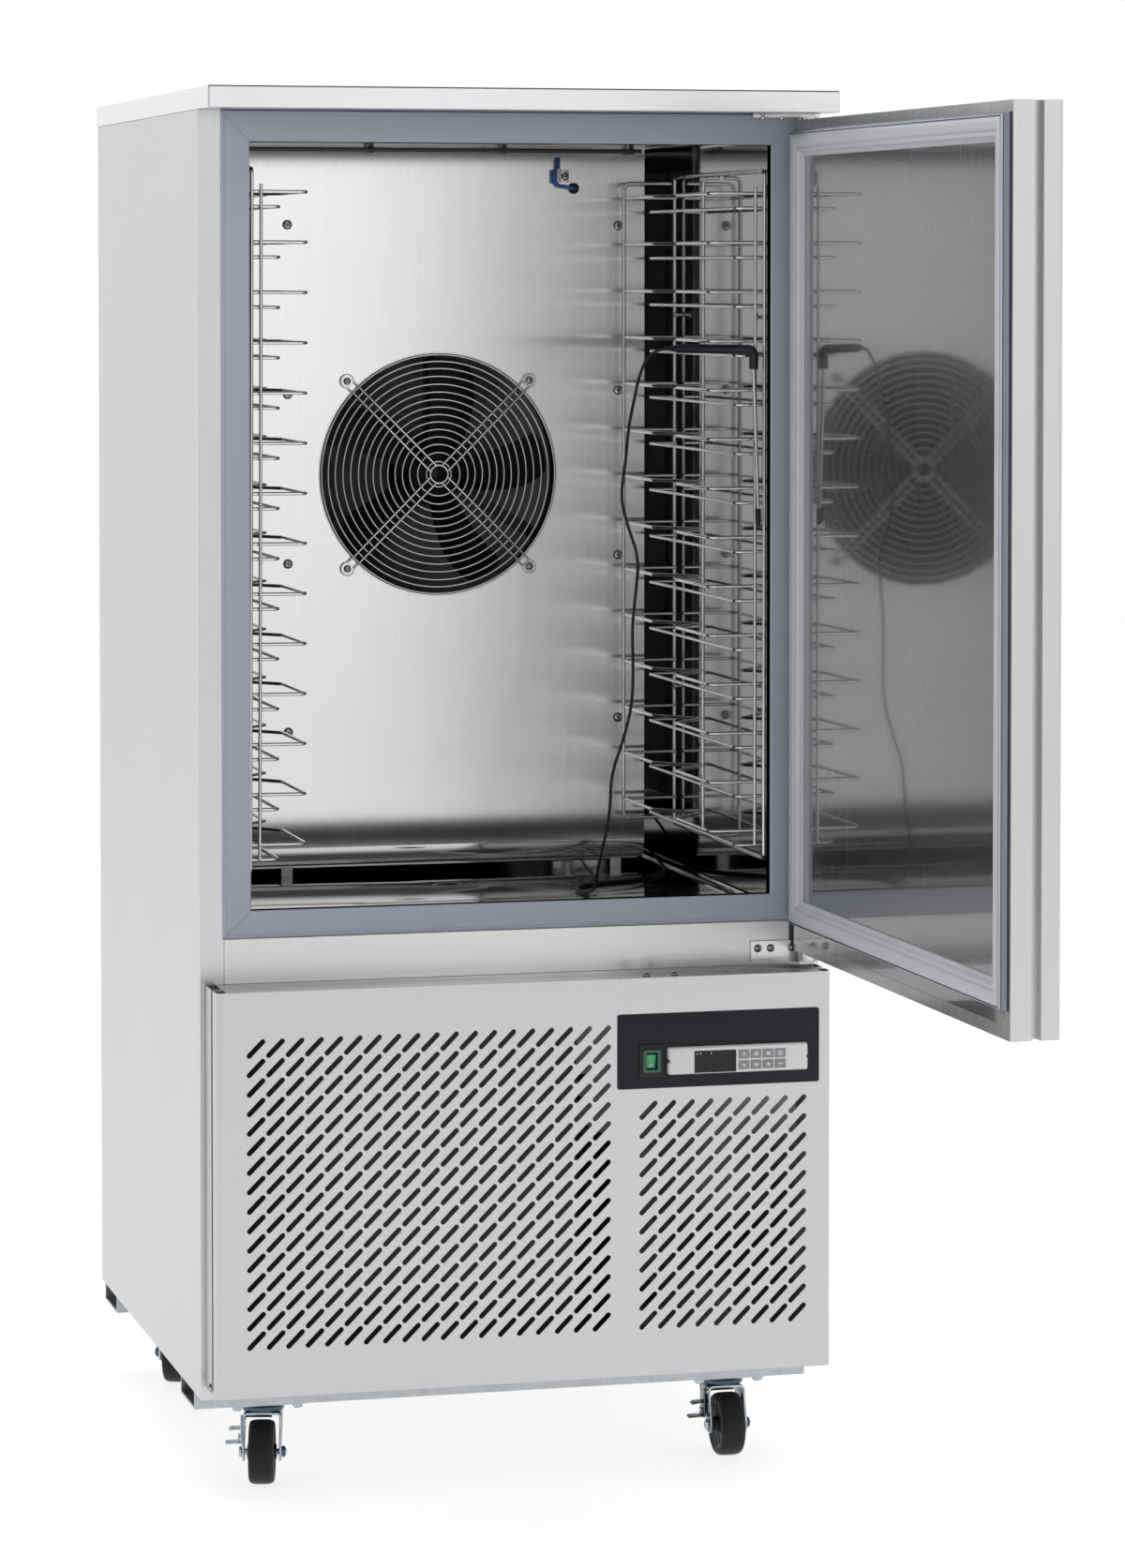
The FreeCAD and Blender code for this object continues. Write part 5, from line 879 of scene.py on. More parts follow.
# ------------------------------------------------------------------ air sensor in its clip
bulb = [rods("as1", [([(171.6, 121.0, 1656.5), (171.6, 121.0, 1655.0), (171.6, 121.0, 1641.0), (172.2, 121.0, 1638.6)], False)], 4.1, BLUE, 6, [[0.86, 1.0, 1.0, 0.8]]),
        rods("as2", [(bent([(172.6, 121.0, 1640.0), (177.0, 120.0, 1635.2), (199.6, 118.2, 1631.8), (199.6, 130.0, 1631.8)], [4.0, 5.0], 12.0), False)], 2.5, BLUE, 5),
        rods("as3", [([(176.4, 121.0, 1654.0), (176.4, 121.0, 1671.2), (176.4, 121.0, 1672.6), (176.4, 121.0, 1673.4)], False)], 3.0, BLUE, 6, [[1.0, 1.0, 0.78, 0.4]]),
        block("as4", (173.6, 115.9, 1639.6), (180.2, 117.1, 1657.8), CLIP, 0.5), block("as5", (179.2, 116.6, 1640.0), (180.3, 127.0, 1657.4), CLIP, 0.4),
        block("as6", (179.4, 126.3, 1640.4), (193.0, 127.6, 1656.2), STEEL_COVER, 0.5)]
place(joined("air_sensor_bulb", bulb), "cabinet", ["air_sensor"])

# ------------------------------------------------------------------ evaporator cover
def cover():
    ch, cc, top_z = 299.0, 752.0, 1690.5
    cu = bpy.data.curves.new("cover_sheet", "CURVE")
    cu.dimensions = "2D"
    cu.fill_mode = "BOTH"
    cu.extrude = 0.6 * MM

    def add(pts):
        sp = cu.splines.new("POLY")
        sp.points.add(len(pts) - 1)
        for i, (x, z) in enumerate(pts):
            sp.points[i].co = (x * MM, z * MM, 0, 1)
        sp.use_cyclic_u = True
    def lift(x):
        t = max(0.0, min(1.0, (-238.0 - x) / 61.0))
        return 13.0 * t * t * (3 - 2 * t)
    xs_ = [-ch + 6.1 * k for k in range(11)] + [ch]
    add([(x, cc + lift(x)) for x in xs_] + [(ch, top_z), (-ch, top_z)])
    holes = [(FX, FZ, 162.0, 128), (199.6, 1631.8, 7.1, 24), (187.8, 1647.7, 2.8, 12)]
    holes += [(-192.5, z, 2.8, 12) for z in (1582.0, 1357.0, 1131.5, 907.0)] + [(262.0, z, 2.8, 12) for z in (1582.0, 1360.0, 1137.5, 917.0)]
    holes += [(FX + sx * 125.0, FZ + sz * 125.0, 2.8, 12) for sx in (-1, 1) for sz in (-1, 1)]
    for x, z, r, n in holes:
        add([(x + r * math.cos(-2 * math.pi * k / n), z + r * math.sin(-2 * math.pi * k / n)) for k in range(n)])
    o = bpy.data.objects.new("cover_sheet", cu)
    scene.collection.objects.link(o)
    o.matrix_world = Matrix.Translation((0, (CV + 0.6) * MM, 0)) @ Matrix.Rotation(math.pi / 2, 4, "X")
    cu.materials.append(STEEL_COVER)
    bpy.context.view_layer.update()
    o = applied(o)
    # curved foot, with its thickness
    RAD, v, f = 40.0, [], []
    K, NX, end = 20, len(xs_), math.sin(math.radians(48.0))
    for k in range(K + 1):
        a = math.radians(48.0 * k / K)
        for rr in (RAD, RAD - 1.2):
            for x in xs_:
                up = lift(x)
                v.append((x, CV + RAD - rr * math.cos(a), cc + up - math.sin(a) * (rr + up / end)))
    for k in range(K):
        for i in range(NX - 1):
            a = 2 * NX * k + i
            f += [(a, a + 1, a + 2 * NX + 1, a + 2 * NX), (a + NX, a + 3 * NX, a + 3 * NX + 1, a + NX + 1)]
        for a in (2 * NX * k, 2 * NX * k + NX - 1):
            f.append((a, a + 2 * NX, a + 3 * NX, a + NX))
    for i in range(NX - 1):
        a = 2 * NX * K + i
        f.append((a, a + 1, a + NX + 1, a + NX))
    # painted shade: the foot is drawn in the darker steel copy
    foot = mesh_from("cover_foot", v, f, STEEL_FOOT_SHADE)
    shade_by_angle(foot, 30)
    rets = [block("cover_r%d" % i, lo, hi, STEEL_COVER, 0.4) for i, (lo, hi) in enumerate((
        ((-ch, CV + 1.2, cc), (-ch + 1.2, CV + 34, top_z)), ((ch - 1.2, CV + 1.2, cc), (ch, CV + 34, top_z)),
        ((-ch, CV + 1.2, top_z - 1.2), (ch, CV + 26, top_z))))]
    feet = [block("cover_f%d" % i, (x - 7.5, 138.6, 712.3), (x + 7.5, 141.4, 727.6), CLIP, 0.5) for i, x in enumerate((-192.5, 262.0))]
    # the rolled rim of the fan opening
    rim = lathe("cover_rim", [(162.0, -0.55), (163.2, -0.35), (163.2, 0.0), (162.0, 0.0)], (FX, CV, FZ), (0, 1, 0), STEEL_COVER, 128)
    return joined("evaporator_cover_sheet", [o, foot] + rets + feet + [rim])


place(cover(), "cabinet", ["evaporator_cover"])

# ------------------------------------------------------------------ door pieces, drawn shut then swung open
SWING = Matrix.Translation((0.374, -0.366, 0)) @ Matrix.Rotation(math.radians(90.8), 4, "Z") @ Matrix.Translation((-0.374, 0.366, 0))
DI = -354.5


def gasket():
    prof = [(0.0, 0.05), (0.0, 2.0), (0.6, 3.0), (2.2, 3.6), (2.6, 5.2), (2.2, 7.6), (2.9, 8.6), (2.6, 10.0), (3.6, 11.0), (4.6, 10.1), (5.8, 11.4), (12.0, 11.45), (17.6, 11.3), (19.6, 10.4),
            (20.6, 8.6), (21.6, 8.2), (22.6, 8.8), (24.4, 9.4), (26.2, 9.0), (27.2, 7.2), (28.2, 5.0), (29.6, 4.2), (32.0, 4.0), (33.0, 3.0), (33.0, 0.05)]
    v, f = [], []
    for w, dy in prof:
        x, z0, z1 = 381.5 - w, 694.0 + w, 1697.0 - w
        for cx, cz in ((-x, z0), (x, z0), (x, z1), (-x, z1)):
            v.append((cx, DI + dy, cz))
    n = len(prof)
    for i in range(n):
        for k in range(4):
            a, b = i * 4 + k, i * 4 + (k + 1) % 4
            c, e = ((i + 1) % n) * 4 + (k + 1) % 4, ((i + 1) % n) * 4 + k
            f.append((a, b, c, e))
    o = mesh_from("door_seal_ring", v, f, [GASKET, SEAL_FLANK_SHADE, SEAL_FOLD_SHADE])
    # painted shade: the crease faces of the profile take the darkest copy, its flanks the mid copy
    for i, q in enumerate(o.data.polygons):
        k = i // 4
        q.material_index = 2 if k in (0, 5, 8) else (1 if k in (1, 2, 3, 4, 9) else 0)
    bm = bmesh.new()
    bm.from_mesh(o.data)
    # the welded mitres stay sharp
    bmesh.ops.recalc_face_normals(bm, faces=bm.faces)
    bm.to_mesh(o.data)
    bm.free()
    shade_by_angle(o, 60)
    o.data.transform(SWING)
    return o


place(gasket(), "door", ["door_gasket"])

# ------------------------------------------------------------------ controls
PF = -415.0 - 0.1 - 1.4          # front face of the control plate


def rounded(x0, z0, x1, z1, r, k=5):
    pts = []
    for cx, cz, a0 in ((x1 - r, z0 + r, -90), (x1 - r, z1 - r, 0), (x0 + r, z1 - r, 90), (x0 + r, z0 + r, 180)):
        for j in range(k + 1):
            a = math.radians(a0 + 90.0 * j / k)
            pts.append((cx + r * math.cos(a), cz + r * math.sin(a)))
    return pts


def controller():
    x0, x1, z0, z1 = 177.5, 359.5, 520.0, 554.0
    outline = rounded(x0, z0, x1, z1, 3.0)
    front = PF - 0.05 - 8.0
    rings = [(PF - 0.05, 0.0), (front + 3.6, 0.3), (front + 1.5, 1.2), (front + 0.4, 2.6), (front, 4.6)]
    cx, cz = (x0 + x1) / 2, (z0 + z1) / 2
    v, f = [], []
    n = len(outline)
    for y, inset in rings:
        for a, b in outline:
            v.append((a - math.copysign(inset * 1.3, a - cx), y, b - math.copysign(inset * 0.55, b - cz)))
    for i in range(len(rings) - 1):
        for k in range(n):
            f.append((i * n + k, i * n + (k + 1) % n, (i + 1) * n + (k + 1) % n, (i + 1) * n + k))
    f.append(tuple((len(rings) - 1) * n + k for k in range(n)))
    f.append(tuple(range(n - 1, -1, -1)))
    o = mesh_from("controller_bezel", v, f, BEZEL)
    bm = bmesh.new()
    bm.from_mesh(o.data)
    bmesh.ops.recalc_face_normals(bm, faces=bm.faces)
    bm.to_mesh(o.data)
    bm.free()
    tools = [block("kp%d" % i, (x - 6.85, -430, z - 5.35), (x + 6.85, -418.4, z + 5.35), BEZEL, 0) for i, (x, z) in enumerate(KEYS)]
    tools.append(block("dw", (210.6, -430, 521.8), (265.0, -422.5, 549.4), BEZEL, 0))
    tools += [lathe("nt%d" % i, [(0, -8), (3.0, -8), (3.0, 8), (0, 8)], (x, -424.0, 537.0), (0, 1, 0), BEZEL, 24) for i, x in enumerate((177.0, 360.0))]
    o = cut_with(o, *tools)
    shade_by_angle(o, 28)
    body = block("controller_back", (180.9, PF - 0.2 + 0.3, 523.3), (356.1, -365.0, 550.7), BLACK, 1.0)
    return joined("controller_bezel", [o, body])


KEYS = [(x, z) for z in (543.0, 529.6) for x in (275.0, 290.75, 306.5, 322.25)]
place(controller(), "cabinet", ["controller_housing"])
win = prism("display_pane", rounded(210.9, 522.1, 264.7, 549.1, 0.8, 3), -424.35, -422.65, SCREEN, 0.15)
dots = [lathe("dot%d" % i, [(0, 0), (0.75, 0), (0.75, 0.06), (0, 0.06)], (x, -424.35, z), (0, -1, 0), MARK, 12)
        for i, (x, z) in enumerate(((214.2, 545.6), (218.4, 545.8), (232.4, 546.0)))]
place(joined("display_pane", [win] + dots), "cabinet", ["display_window"])

# key tops with plain marks
KF = -415.15 - 1.4 - 8.0 - 1.1   # outer face of the keys


def bar(pts, w, x, z, y):
    """A short flat stroke on the key face."""
    (a0, b0), (a1, b1) = pts
    dx, dz = a1 - a0, b1 - b0
    L_ = math.hypot(dx, dz)
    nx, nz = -dz / L_ * w / 2, dx / L_ * w / 2
    out = [(x + a0 + nx, z + b0 + nz), (x + a1 + nx, z + b1 + nz), (x + a1 - nx, z + b1 - nz), (x + a0 - nx, z + b0 - nz)]
    return prism("stroke", out, y - 0.05, y + 0.15, MARK, 0)


def ring_mark(x, z, r, w, y):
    return lathe("stroke", [(r - w, -0.05), (r, -0.05), (r, 0.15), (r - w, 0.15), (r - w, -0.05)], (x, y, z), (0, 1, 0), MARK, 28)


for i, (x, z) in enumerate(KEYS):
    top_ = prism("key_cap", rounded(x - 6.5, z - 5.0, x + 6.5, z + 5.0, 1.2, 4), KF, KF + 5.0, KEYTOP, 0.45)
    y = KF
    marks = {
        0: lambda: [bar([(-2.4, -1.2), (0, 1.6)], 0.8, x, z, y), bar([(2.4, -1.2), (0, 1.6)], 0.8, x, z, y)],
        1: lambda: [ring_mark(x, z, 2.5, 0.75, y), bar([(0, -0.2), (0, 3.0)], 0.9, x, z, y)],
        2: lambda: [bar([(-2.6, 1.4), (2.6, 1.4)], 0.7, x, z, y), bar([(-2.6, 0), (2.6, 0)], 0.7, x, z, y), bar([(-2.6, -1.4), (2.6, -1.4)], 0.7, x, z, y)],
        3: lambda: [ring_mark(x, z, 2.6, 0.8, y)],
        4: lambda: [bar([(-2.4, 1.2), (0, -1.6)], 0.8, x, z, y), bar([(2.4, 1.2), (0, -1.6)], 0.8, x, z, y)],
        5: lambda: [bar([(-2.4, 0), (2.4, 0)], 0.8, x, z, y), bar([(0, -2.4), (0, 2.4)], 0.8, x, z, y), bar([(-1.7, -1.7), (1.7, 1.7)], 0.6, x, z, y), bar([(-1.7, 1.7), (1.7, -1.7)], 0.6, x, z, y)],
        6: lambda: [bar([(-2.4, 0), (2.4, 0)], 0.9, x, z, y), bar([(0, -2.2), (0, 2.2)], 0.9, x, z, y)],
        7: lambda: [bar([(-2.6, 0), (2.6, 0)], 0.9, x, z, y)],
    }[i]()
    place(joined("key_%d_cap" % (i + 1), [top_] + marks), "key_%d" % (i + 1), ["key_%d" % (i + 1)])

# control plate: thin sheet with small round corners
cplate = prism("control_plate_sheet", rounded(113.6, 503.4, 375.8, 597.0, 3.2, 6), PF, -415.12, PLATE, 0.35)
cplate = cut_with(cplate, block("cph", (142.6, -430, 520.6), (170.4, -400, 556.0), PLATE, 0))
place(shade_by_angle(cplate, 30), "cabinet", ["control_plate"])

# rocker switch: black frame, green guard, green rocker with on and off marks
RX, RZ = 156.5, 538.3
flange = prism("switch_frame", rounded(RX - 15.5, RZ - 20.5, RX + 15.5, RZ + 20.5, 1.6, 4), PF - 0.05 - 2.2, PF - 0.05, BLACK, 0.7)
body_ = block("switch_body", (RX - 13, PF, RZ - 17.5), (RX + 13, -392.8, RZ + 17.5), BLACK, 0.8)
guard_o = prism("switch_guard", rounded(RX - 11.5, RZ - 14.5, RX + 11.5, RZ + 14.5, 3.0, 5), PF - 6.2, PF - 0.1, GUARD_GREEN, 0.9, segments=4)
pocket = [block("sp%d" % i, (RX - 7.0, -430, RZ - 10.6), (RX + 7.0, -398.0, RZ + 10.6), GUARD_GREEN, 0) for i in range(3)]
flange = cut_with(flange, pocket[0])
body_ = cut_with(body_, pocket[1])
guard_o = cut_with(guard_o, pocket[2])
shade_by_angle(flange, 35); shade_by_angle(body_, 35); shade_by_angle(guard_o, 35)
pin = lathe("switch_pin", [(0, -7.9), (1.2, -7.9), (1.2, 7.9), (0, 7.9)], (RX, -411.0, RZ), (1, 0, 0), BLACK, 20)
place(joined("switch_frame", [flange, body_, guard_o, pin]), "cabinet", ["switch_housing"])
tilt = Matrix.Translation((RX * MM, -0.411, RZ * MM)) @ Matrix.Rotation(math.radians(8.0), 4, "X")
rk = prism("rocker_cap", [(-7.6, -8.9), (-6.7, -4.5), (-6.45, 0.0), (-6.7, 4.5), (-7.6, 8.9), (-1.0, 8.9), (4.6, 4.0), (4.6, -4.0), (-1.0, -8.9)], -6.1, 6.1, ROCK_GREEN, 0.5, "yz")
mk1 = block("rk_on", (-0.5, -7.15, 3.2), (0.5, -6.55, 6.8), MARK, 0)
mk0 = lathe("rk_off", [(1.15, -0.3), (1.95, -0.3), (1.95, 0.3), (1.15, 0.3), (1.15, -0.3)], (0, -6.9, -5.0), (0, 1, 0), MARK, 24)
mk1.data.transform(Matrix.Rotation(math.radians(-7.0), 4, "X"))
rk = joined("rocker_cap", [rk, mk1, mk0])
rk.data.transform(tilt)
place(rk, "power_rocker", ["power_rocker"])

# ------------------------------------------------------------------ castors
# the front pair trails forwards: drawn trailing back, then mirrored front to back
CAST = {"front_left": (-301.0, -240.0, 14.0), "front_right": (301.0, -240.0, 1.0), "rear_left": (-301.0, 348.0, 200.0), "rear_right": (301.0, 348.0, -14.0)}
TR, WR = 24.0, 40.0


def strap(name, path, thick, mat):
    """Flat strap in the x-z plane; each station is (x, z, middle y, half width)."""
    P = [Vector((a, b)) for a, b, _, _ in path]
    v, f = [], []
    n = len(P)
    for i in range(n):
        t = (P[min(i + 1, n - 1)] - P[max(i - 1, 0)]).normalized()
        nn = Vector((-t.y, t.x))
        yc, hw = path[i][2], path[i][3]
        for s in (-0.5, 0.5):
            q = P[i] + nn * (thick * s)
            for w in (-hw, hw):
                v.append((q.x, yc + w, q.y))
    for i in range(n - 1):
        a, b = 4 * i, 4 * i + 4
        f += [(a, b, b + 1, a + 1), (a + 2, a + 3, b + 3, b + 2), (a, a + 2, b + 2, b), (a + 1, b + 1, b + 3, a + 3)]
    f += [(0, 1, 3, 2), (4 * n - 4, 4 * n - 2, 4 * n - 1, 4 * n - 3)]
    o = mesh_from(name, v, f, mat, False)
    bm = bmesh.new()
    bm.from_mesh(o.data)
    bmesh.ops.recalc_face_normals(bm, faces=bm.faces)
    bm.to_mesh(o.data)
    bm.free()
    return bevelled(o, 0.6, 2, 50.0)


def hexnut(name, base, axis, across, height, mat):
    r = across / 2 / math.cos(math.pi / 6)
    o = lathe(name, [(0, 0), (r * 0.96, 0), (r, 0.4), (r, height - 0.9), (r * 0.88, height), (0, height)], base, axis, mat, 6)
    o.data.polygons.foreach_set("use_smooth", [False] * len(o.data.polygons))
    return o


def castor(c):
    x, y, head = CAST[c]
    M = Matrix.Translation((x * MM, y * MM, 0)) @ Matrix.Rotation(math.radians(-head), 4, "Z")
    front = y < 0
    # painted shade: the right-hand brake parts take the dark zinc copy, the left-hand ones the plain zinc
    pedal = ZINC_SHADE if x > 0 else ZINC
    if front:
        M = M @ Matrix.Scale(-1.0, 4, (0, 1, 0))

    def turned(o):
        o.data.transform(M)
        if front:
            o.data.flip_normals()
        return o
    parts = []
    # dished head with rolled rim, carried by the king pin, drawn in the dark zinc copy as painted shade
    parts.append(lathe("ch", [(6.0, 97.7), (20.0, 97.8), (24.5, 97.3), (26.6, 95.6), (27.0, 92.5), (26.4, 90.0), (24.6, 89.2), (20.0, 88.6), (12.2, 88.2), (12.2, 91.2), (6.0, 91.2), (6.0, 97.7)], (0, 0, 0), (0, 0, 1), ZINC_SHADE, 56))
    # yoke: one strap bent over into two tapering arms
    path = []
    cy, zt, xo, rb = 1.0, 87.3, 23.0, 5.0
    left = [(-xo, 29.5, TR, 6.5), (-xo, 33.0, TR, 9.2), (-xo, 40.0, TR, 10.3), (-xo, 47.0, TR - 1.5, 11.5), (-xo, 56.0, 16.0, 15.5), (-xo, 66.0, 8.5, 19.5), (-xo, 75.0, 4.0, 21.6), (-xo, 82.0, 1.8, 22.4)]
    arc = []
    for k in range(5):
        a = math.radians(90.0 * k / 4)
        arc.append((-xo + rb - rb * math.cos(a), zt - rb + rb * math.sin(a), cy, 22.6))
    mid = [(-10.0, zt, cy, 22.6), (10.0, zt, cy, 22.6)]
    right = [(-a, b, w, h) for a, b, w, h in (left + arc)[::-1]]
    path = left + arc + mid + right
    yoke = strap("cy", path, 2.8, ZINC)
    yoke.data.materials.append(ZINC_SHADE)
    for q in yoke.data.polygons:
        # painted shade: the broad faces take the dark zinc copy, and the sheared edges keep the plain zinc so that they
        # read as lit
        if abs(q.normal.y) < 0.45 and abs(q.center.x) * 1000.0 > 12.0:
            q.material_index = 1
    cuts = [lathe("cu", [(0, 80), (12.2, 80), (12.2, 95), (0, 95)], (0, 0, 0), (0, 0, 1), ZINC, 40)]
    if front:
        cuts.append(block("cw", (-26.5, 7.2, 77.6), (-20.0, 20.2, 85.4), ZINC, 0))
    yoke = cut_with(yoke, *cuts)
    shade_by_angle(yoke, 40)
    parts.append(yoke)
    # axle bolt: head at the left, lock nut and thread end at the right
    parts.append(lathe("ca", [(0, -29.0), (3.4, -29.0), (4.0, -28.4), (4.0, 30.2), (3.4, 31.0), (0, 31.0)], (0, TR, WR), (1, 0, 0), ZINC, 24))
    # painted shade: the nut at the right-hand end takes the dark zinc copy, the one at the left the plain zinc
    parts.append(hexnut("cn", (24.5, TR, WR), (1, 0, 0), 12.2, 5.0, ZINC_SHADE))
    parts.append(lathe("cw2", [(4.0, 24.42), (7.0, 24.42), (7.0, 24.9), (4.0, 24.9)], (0, TR, WR), (1, 0, 0), ZINC, 28))
    parts.append(hexnut("cn2", (-25.6, TR, WR), (-1, 0, 0), 12.2, 3.4, ZINC))
    if front:
        parts.append(lathe("cp", [(0, -31.0), (3.4, -31.0), (4.2, -30.2), (4.2, -29.4), (2.4, -29.4), (2.4, -24.2), (0, -24.2)], (0, 5.0, 55.0), (1, 0, 0), ZINC, 24))
    o = turned(joined("castor_yoke_" + c, parts))
    place(o, "fork_" + c, ["castor_fork_" + c])
    # wheel: rounded tread, moulded ribs on the web, boss with its bush
    H = 16.0
    prof = [(4.05, -18.4), (8.6, -18.4), (9.6, -17.8), (10.6, -15.2), (13.0, -13.6), (26.0, -13.2), (30.0, -14.6), (31.5, -15.7), (34.5, -H), (37.0, -15.2), (38.8, -13.0), (39.7, -9.5), (40.0, -5.0)]
    prof = prof + [(r, -h) for r, h in prof[::-1]] + [prof[0]]
    w = lathe("cwh", prof, (0, TR, WR), (1, 0, 0), TREAD, 72)
    wp = [w]
    for s in (-1, 1):
        for k in range(10):
            a = 2 * math.pi * k / 10
            rb_ = block("rib", (s * 13.2 - 0.9, -1.1, 10.2), (s * 13.2 + 0.9, 1.1, 30.0), TREAD, 0.4)
            rb_.data.transform(Matrix.Translation((0, TR * MM, WR * MM)) @ Matrix.Rotation(a, 4, "X"))
            wp.append(rb_)
    o = turned(joined("castor_roller_" + c, wp))
    place(o, "wheel_" + c, ["castor_wheel_" + c])
    if front:
        # brake: pressed side plate, two foot tabs, arm and shoe over the tread
        pl = prism("bl", [(-6.0, 49.0), (-3.0, 46.0), (13.0, 46.0), (16.0, 49.0), (16.0, 80.4), (16.0, 83.0), (8.0, 83.0), (8.0, 80.0), (-3.0, 80.0), (-6.0, 77.0)], -27.6, -25.5, pedal, 0.5, "yz")
        ear = lathe("be", [(2.45, -27.8), (7.0, -27.8), (7.3, -27.4), (7.3, -25.2), (7.0, -24.8), (2.45, -24.8), (2.45, -27.8)], (0, 5.0, 55.0), (1, 0, 0), pedal, 36)
        def tab(nm, x_out, y0, y1, z, droop):
            pts = [(-27.0, z), (-32.0, z), (-36.0, z - droop * 0.3), ((x_out - 36.0) / 2, z - droop * 0.7), (x_out + 3.0, z - droop), (x_out, z - droop - 0.6)]
            return strap(nm, [(a, b, (y0 + y1) / 2, (y1 - y0) / 2 * (1.0 if i < 4 else (0.93 if i == 4 else 0.72))) for i, (a, b) in enumerate(pts)], 2.3, pedal)
        t1 = tab("bt1", -42.6, -3.0, 13.0, 65.9, 1.2)
        t2 = tab("bt2", -47.0, -3.0, 13.0, 48.2, 0.6)
        # painted shade: the shoe takes the dark zinc copy
        shoe = block("bs", (-26.0, 10.2, 81.3), (12.2, 15.8, 83.1), ZINC_SHADE, 0.6)
        o = turned(joined("brake_pedal_" + c, [pl, ear, t1, t2, shoe]))
        place(o, "brake_" + c, ["brake_lever_" + c])


for c in CAST:
    castor(c)

# mounting plates, bearing cups and king pins; hexagon bolt heads with washers
pparts, bparts = [], []
for c, (x, y, _) in CAST.items():
    pl = prism("pp", rounded(x - 48, y - 40, x + 48, y + 40, 5.0, 4), 101.1, 103.9, ZINC, 0.6, "xy")
    pl = cut_with(pl, *[lathe("ph", [(0, 98), (4.2, 98), (4.2, 106), (0, 106)], (x + bx, y + by, 0), (0, 0, 1), ZINC, 20) for bx in (-39, 39) for by in (-29, 29)])
    pparts.append(shade_by_angle(pl, 35))
    pparts.append(lathe("pc", [(0, 101.2), (25.5, 101.2), (24.6, 99.6), (22.0, 98.6), (12.0, 98.25), (5.95, 98.2), (5.95, 85.2), (9.0, 85.0), (8.4, 83.2), (5.0, 82.5), (0, 82.4)], (x, y, 0), (0, 0, 1), ZINC, 48))
    for bx in (-39, 39):
        for by in (-29, 29):
            b0 = hexnut("bh", (x + bx, y + by, 100.0), (0, 0, -1), 11.2, 4.6, ZINC)
            b1 = lathe("bw", [(4.0, 100.0), (7.2, 100.0), (7.2, 101.0), (4.0, 101.0)], (x + bx, y + by, 0), (0, 0, 1), ZINC, 28)
            b2 = lathe("bs2", [(0, 95.4), (4.0, 95.4), (4.0, 107.0), (3.4, 107.2), (0, 107.2)], (x + bx, y + by, 0), (0, 0, 1), ZINC, 20)
            bparts += [b0, b1, b2]
place(joined("castor_top_plates", pparts), "cabinet", ["castor_plates"])
place(joined("castor_hex_bolts", bparts), "cabinet", ["castor_bolts"])

# ------------------------------------------------------------------ stage and light
def stage_mesh(name, verts, faces, mat, smooth=True):
    me = bpy.data.meshes.new(name)
    me.from_pydata(verts, [], faces)
    me.materials.append(mat)
    if smooth:
        me.polygons.foreach_set("use_smooth", [True] * len(me.polygons))
    o = bpy.data.objects.new(name, me)
    scene.collection.objects.link(o)
    return o


fm = Mat("studio_floor")
fm.set(rough=0.65, spec=0.1, emit=0.80, emit_col=(1.0, 1.0, 1.0))
fm.colour(fm.noise(2.0, 2.0, 0.5), (0.24, 0.24, 0.24), (0.26, 0.26, 0.26))
# the sweep stands far enough behind for views of the back
prof = [(-6.2, 0.0), (8.2, 0.0)]
for k in range(1, 13):
    a = math.radians(90.0 * k / 12)
    prof.append((8.2 + 2.5 * math.sin(a), 2.5 - 2.5 * math.cos(a)))
prof.append((10.7, 9.0))
v = []
for y, z in prof:
    v += [(-14.0, y, z), (14.0, y, z)]
f = [(2 * i, 2 * i + 1, 2 * i + 3, 2 * i + 2) for i in range(len(prof) - 1)]
stage_mesh("studio_floor", v, f, fm.m)


def area(name, loc, target, size, power, colour=(1, 1, 1)):
    l = bpy.data.lights.new(name, "AREA")
    l.shape = "RECTANGLE"
    l.size, l.size_y = size
    l.energy = power
    l.color = colour
    o = bpy.data.objects.new(name, l)
    scene.collection.objects.link(o)
    o.location = loc
    o.rotation_mode = "QUATERNION"
    o.rotation_quaternion = (Vector(target) - Vector(loc)).to_track_quat("-Z", "Y")
    return o


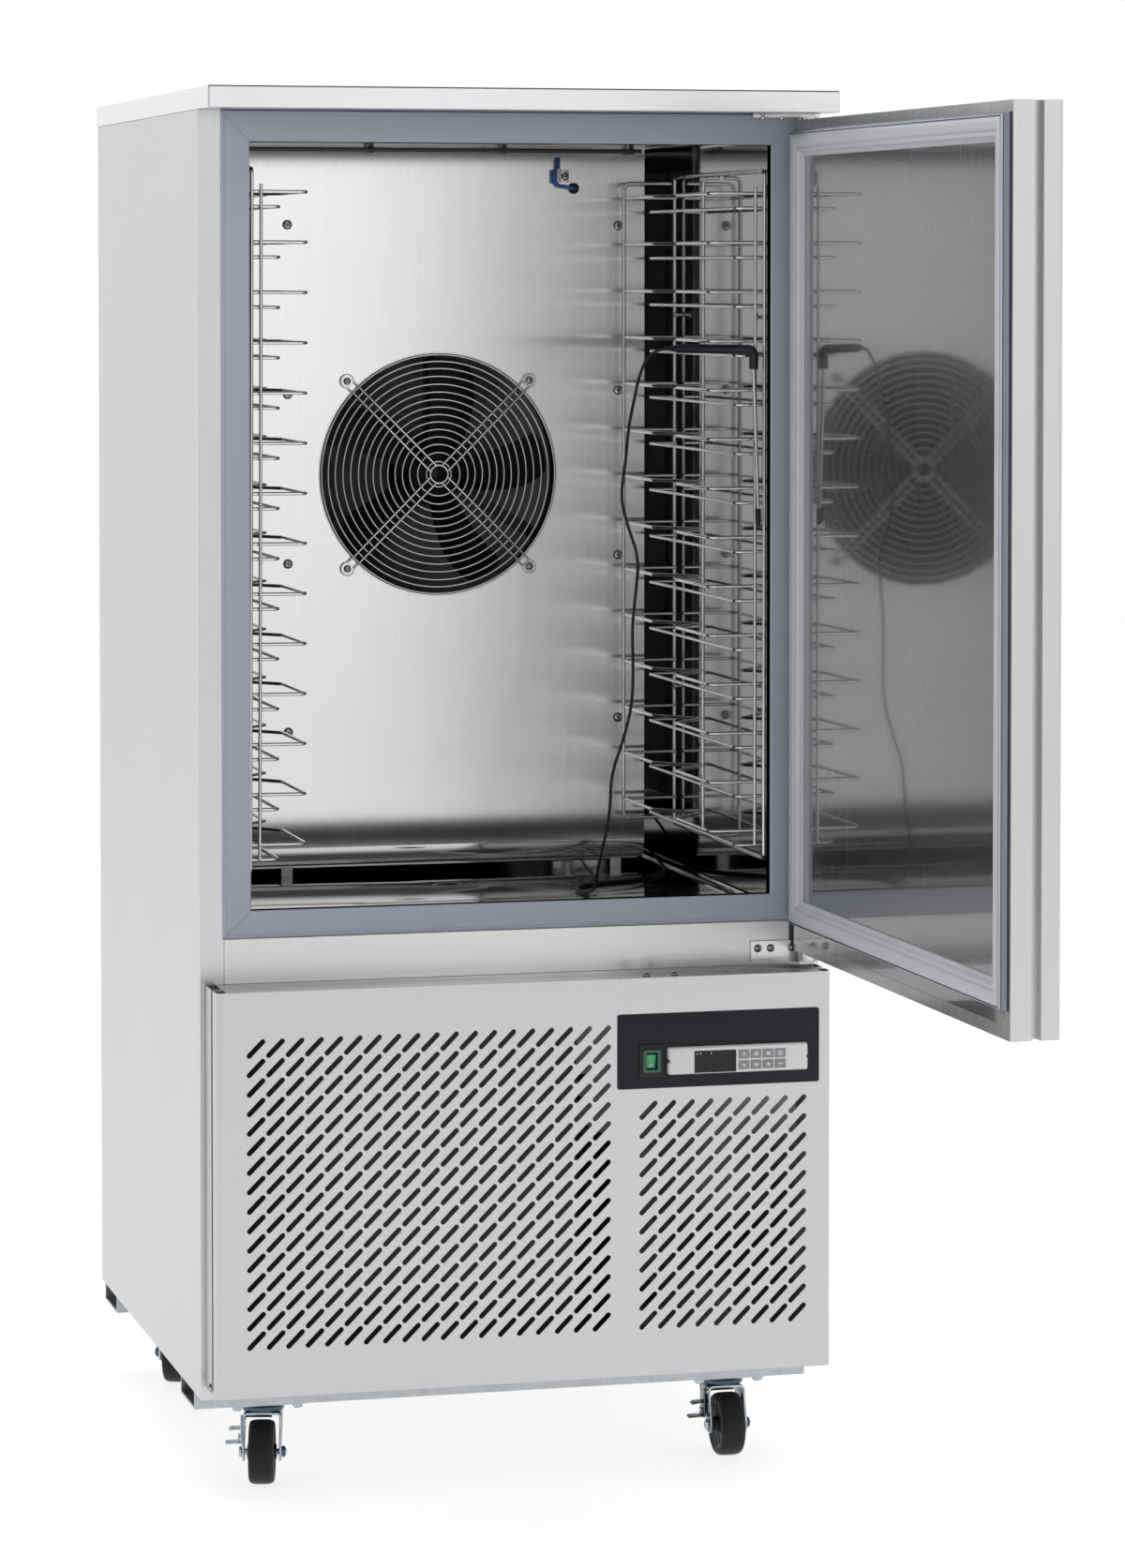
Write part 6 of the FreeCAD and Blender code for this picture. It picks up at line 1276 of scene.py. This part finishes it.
# Overhead and side softboxes light the floor; the steel sees the surround instead of them.
for lamp in (area("top_soft", (0.0, -1.0, 5.4), (0.0, -0.4, 0.0), (7.0, 6.0), 230.0),
             area("left_soft", (-5.0, -3.2, 2.6), (0.0, 0.0, 0.9), (3.0, 3.6), 65.0),
             area("right_soft", (5.0, -3.4, 2.6), (0.0, 0.0, 0.9), (3.0, 3.6), 75.0),
             area("back_wash", (0.0, 1.2, 6.4), (0.0, 5.2, 1.6), (9.0, 2.4), 150.0)):
    lamp.visible_glossy = False
w = bpy.data.worlds.new("studio")
scene.world = w
w.use_nodes = True
wn, wl = w.node_tree.nodes, w.node_tree.links
bg = wn["Background"]
way = wn.new("ShaderNodeTexCoord")
xyz = wn.new("ShaderNodeSeparateXYZ")
wl.new(way.outputs["Generated"], xyz.inputs[0])


def wramp(src, pts):
    r = wn.new("ShaderNodeMapRange")
    r.interpolation_type = "SMOOTHSTEP"
    for k, val in zip(("From Min", "From Max", "To Min", "To Max"), pts):
        r.inputs[k].default_value = val
    wl.new(src, r.inputs["Value"])
    return r.outputs["Result"]


def wmul(a, b, op="MULTIPLY"):
    n = wn.new("ShaderNodeMath")
    n.operation = op
    for i, q in enumerate((a, b)):
        if isinstance(q, (int, float)):
            n.inputs[i].default_value = q
        else:
            wl.new(q, n.inputs[i])
    return n.outputs[0]


# a bright band round the horizon, dim overhead, softer below it and towards the front left
band = wmul(wramp(xyz.outputs["Z"], (0.30, 0.62, 1.0, 0.10)), wramp(xyz.outputs["Z"], (-0.16, 0.03, 0.80, 1.06)))
side_ = wmul(wramp(xyz.outputs["X"], (-0.35, 0.26, 0.46, 1.0)), wramp(xyz.outputs["X"], (0.27, 0.55, 1.0, 0.80)))
behind = wramp(xyz.outputs["Y"], (-0.2, 0.2, 0.0, 1.0))
level = wmul(band, wmul(side_, behind, "MAXIMUM"))
wl.new(wmul(level, 1.18), bg.inputs[1])
bg.inputs[0].default_value = (1.0, 1.0, 1.0, 1.0)
scene.view_settings.view_transform = "Standard"
scene.view_settings.exposure = 0.0
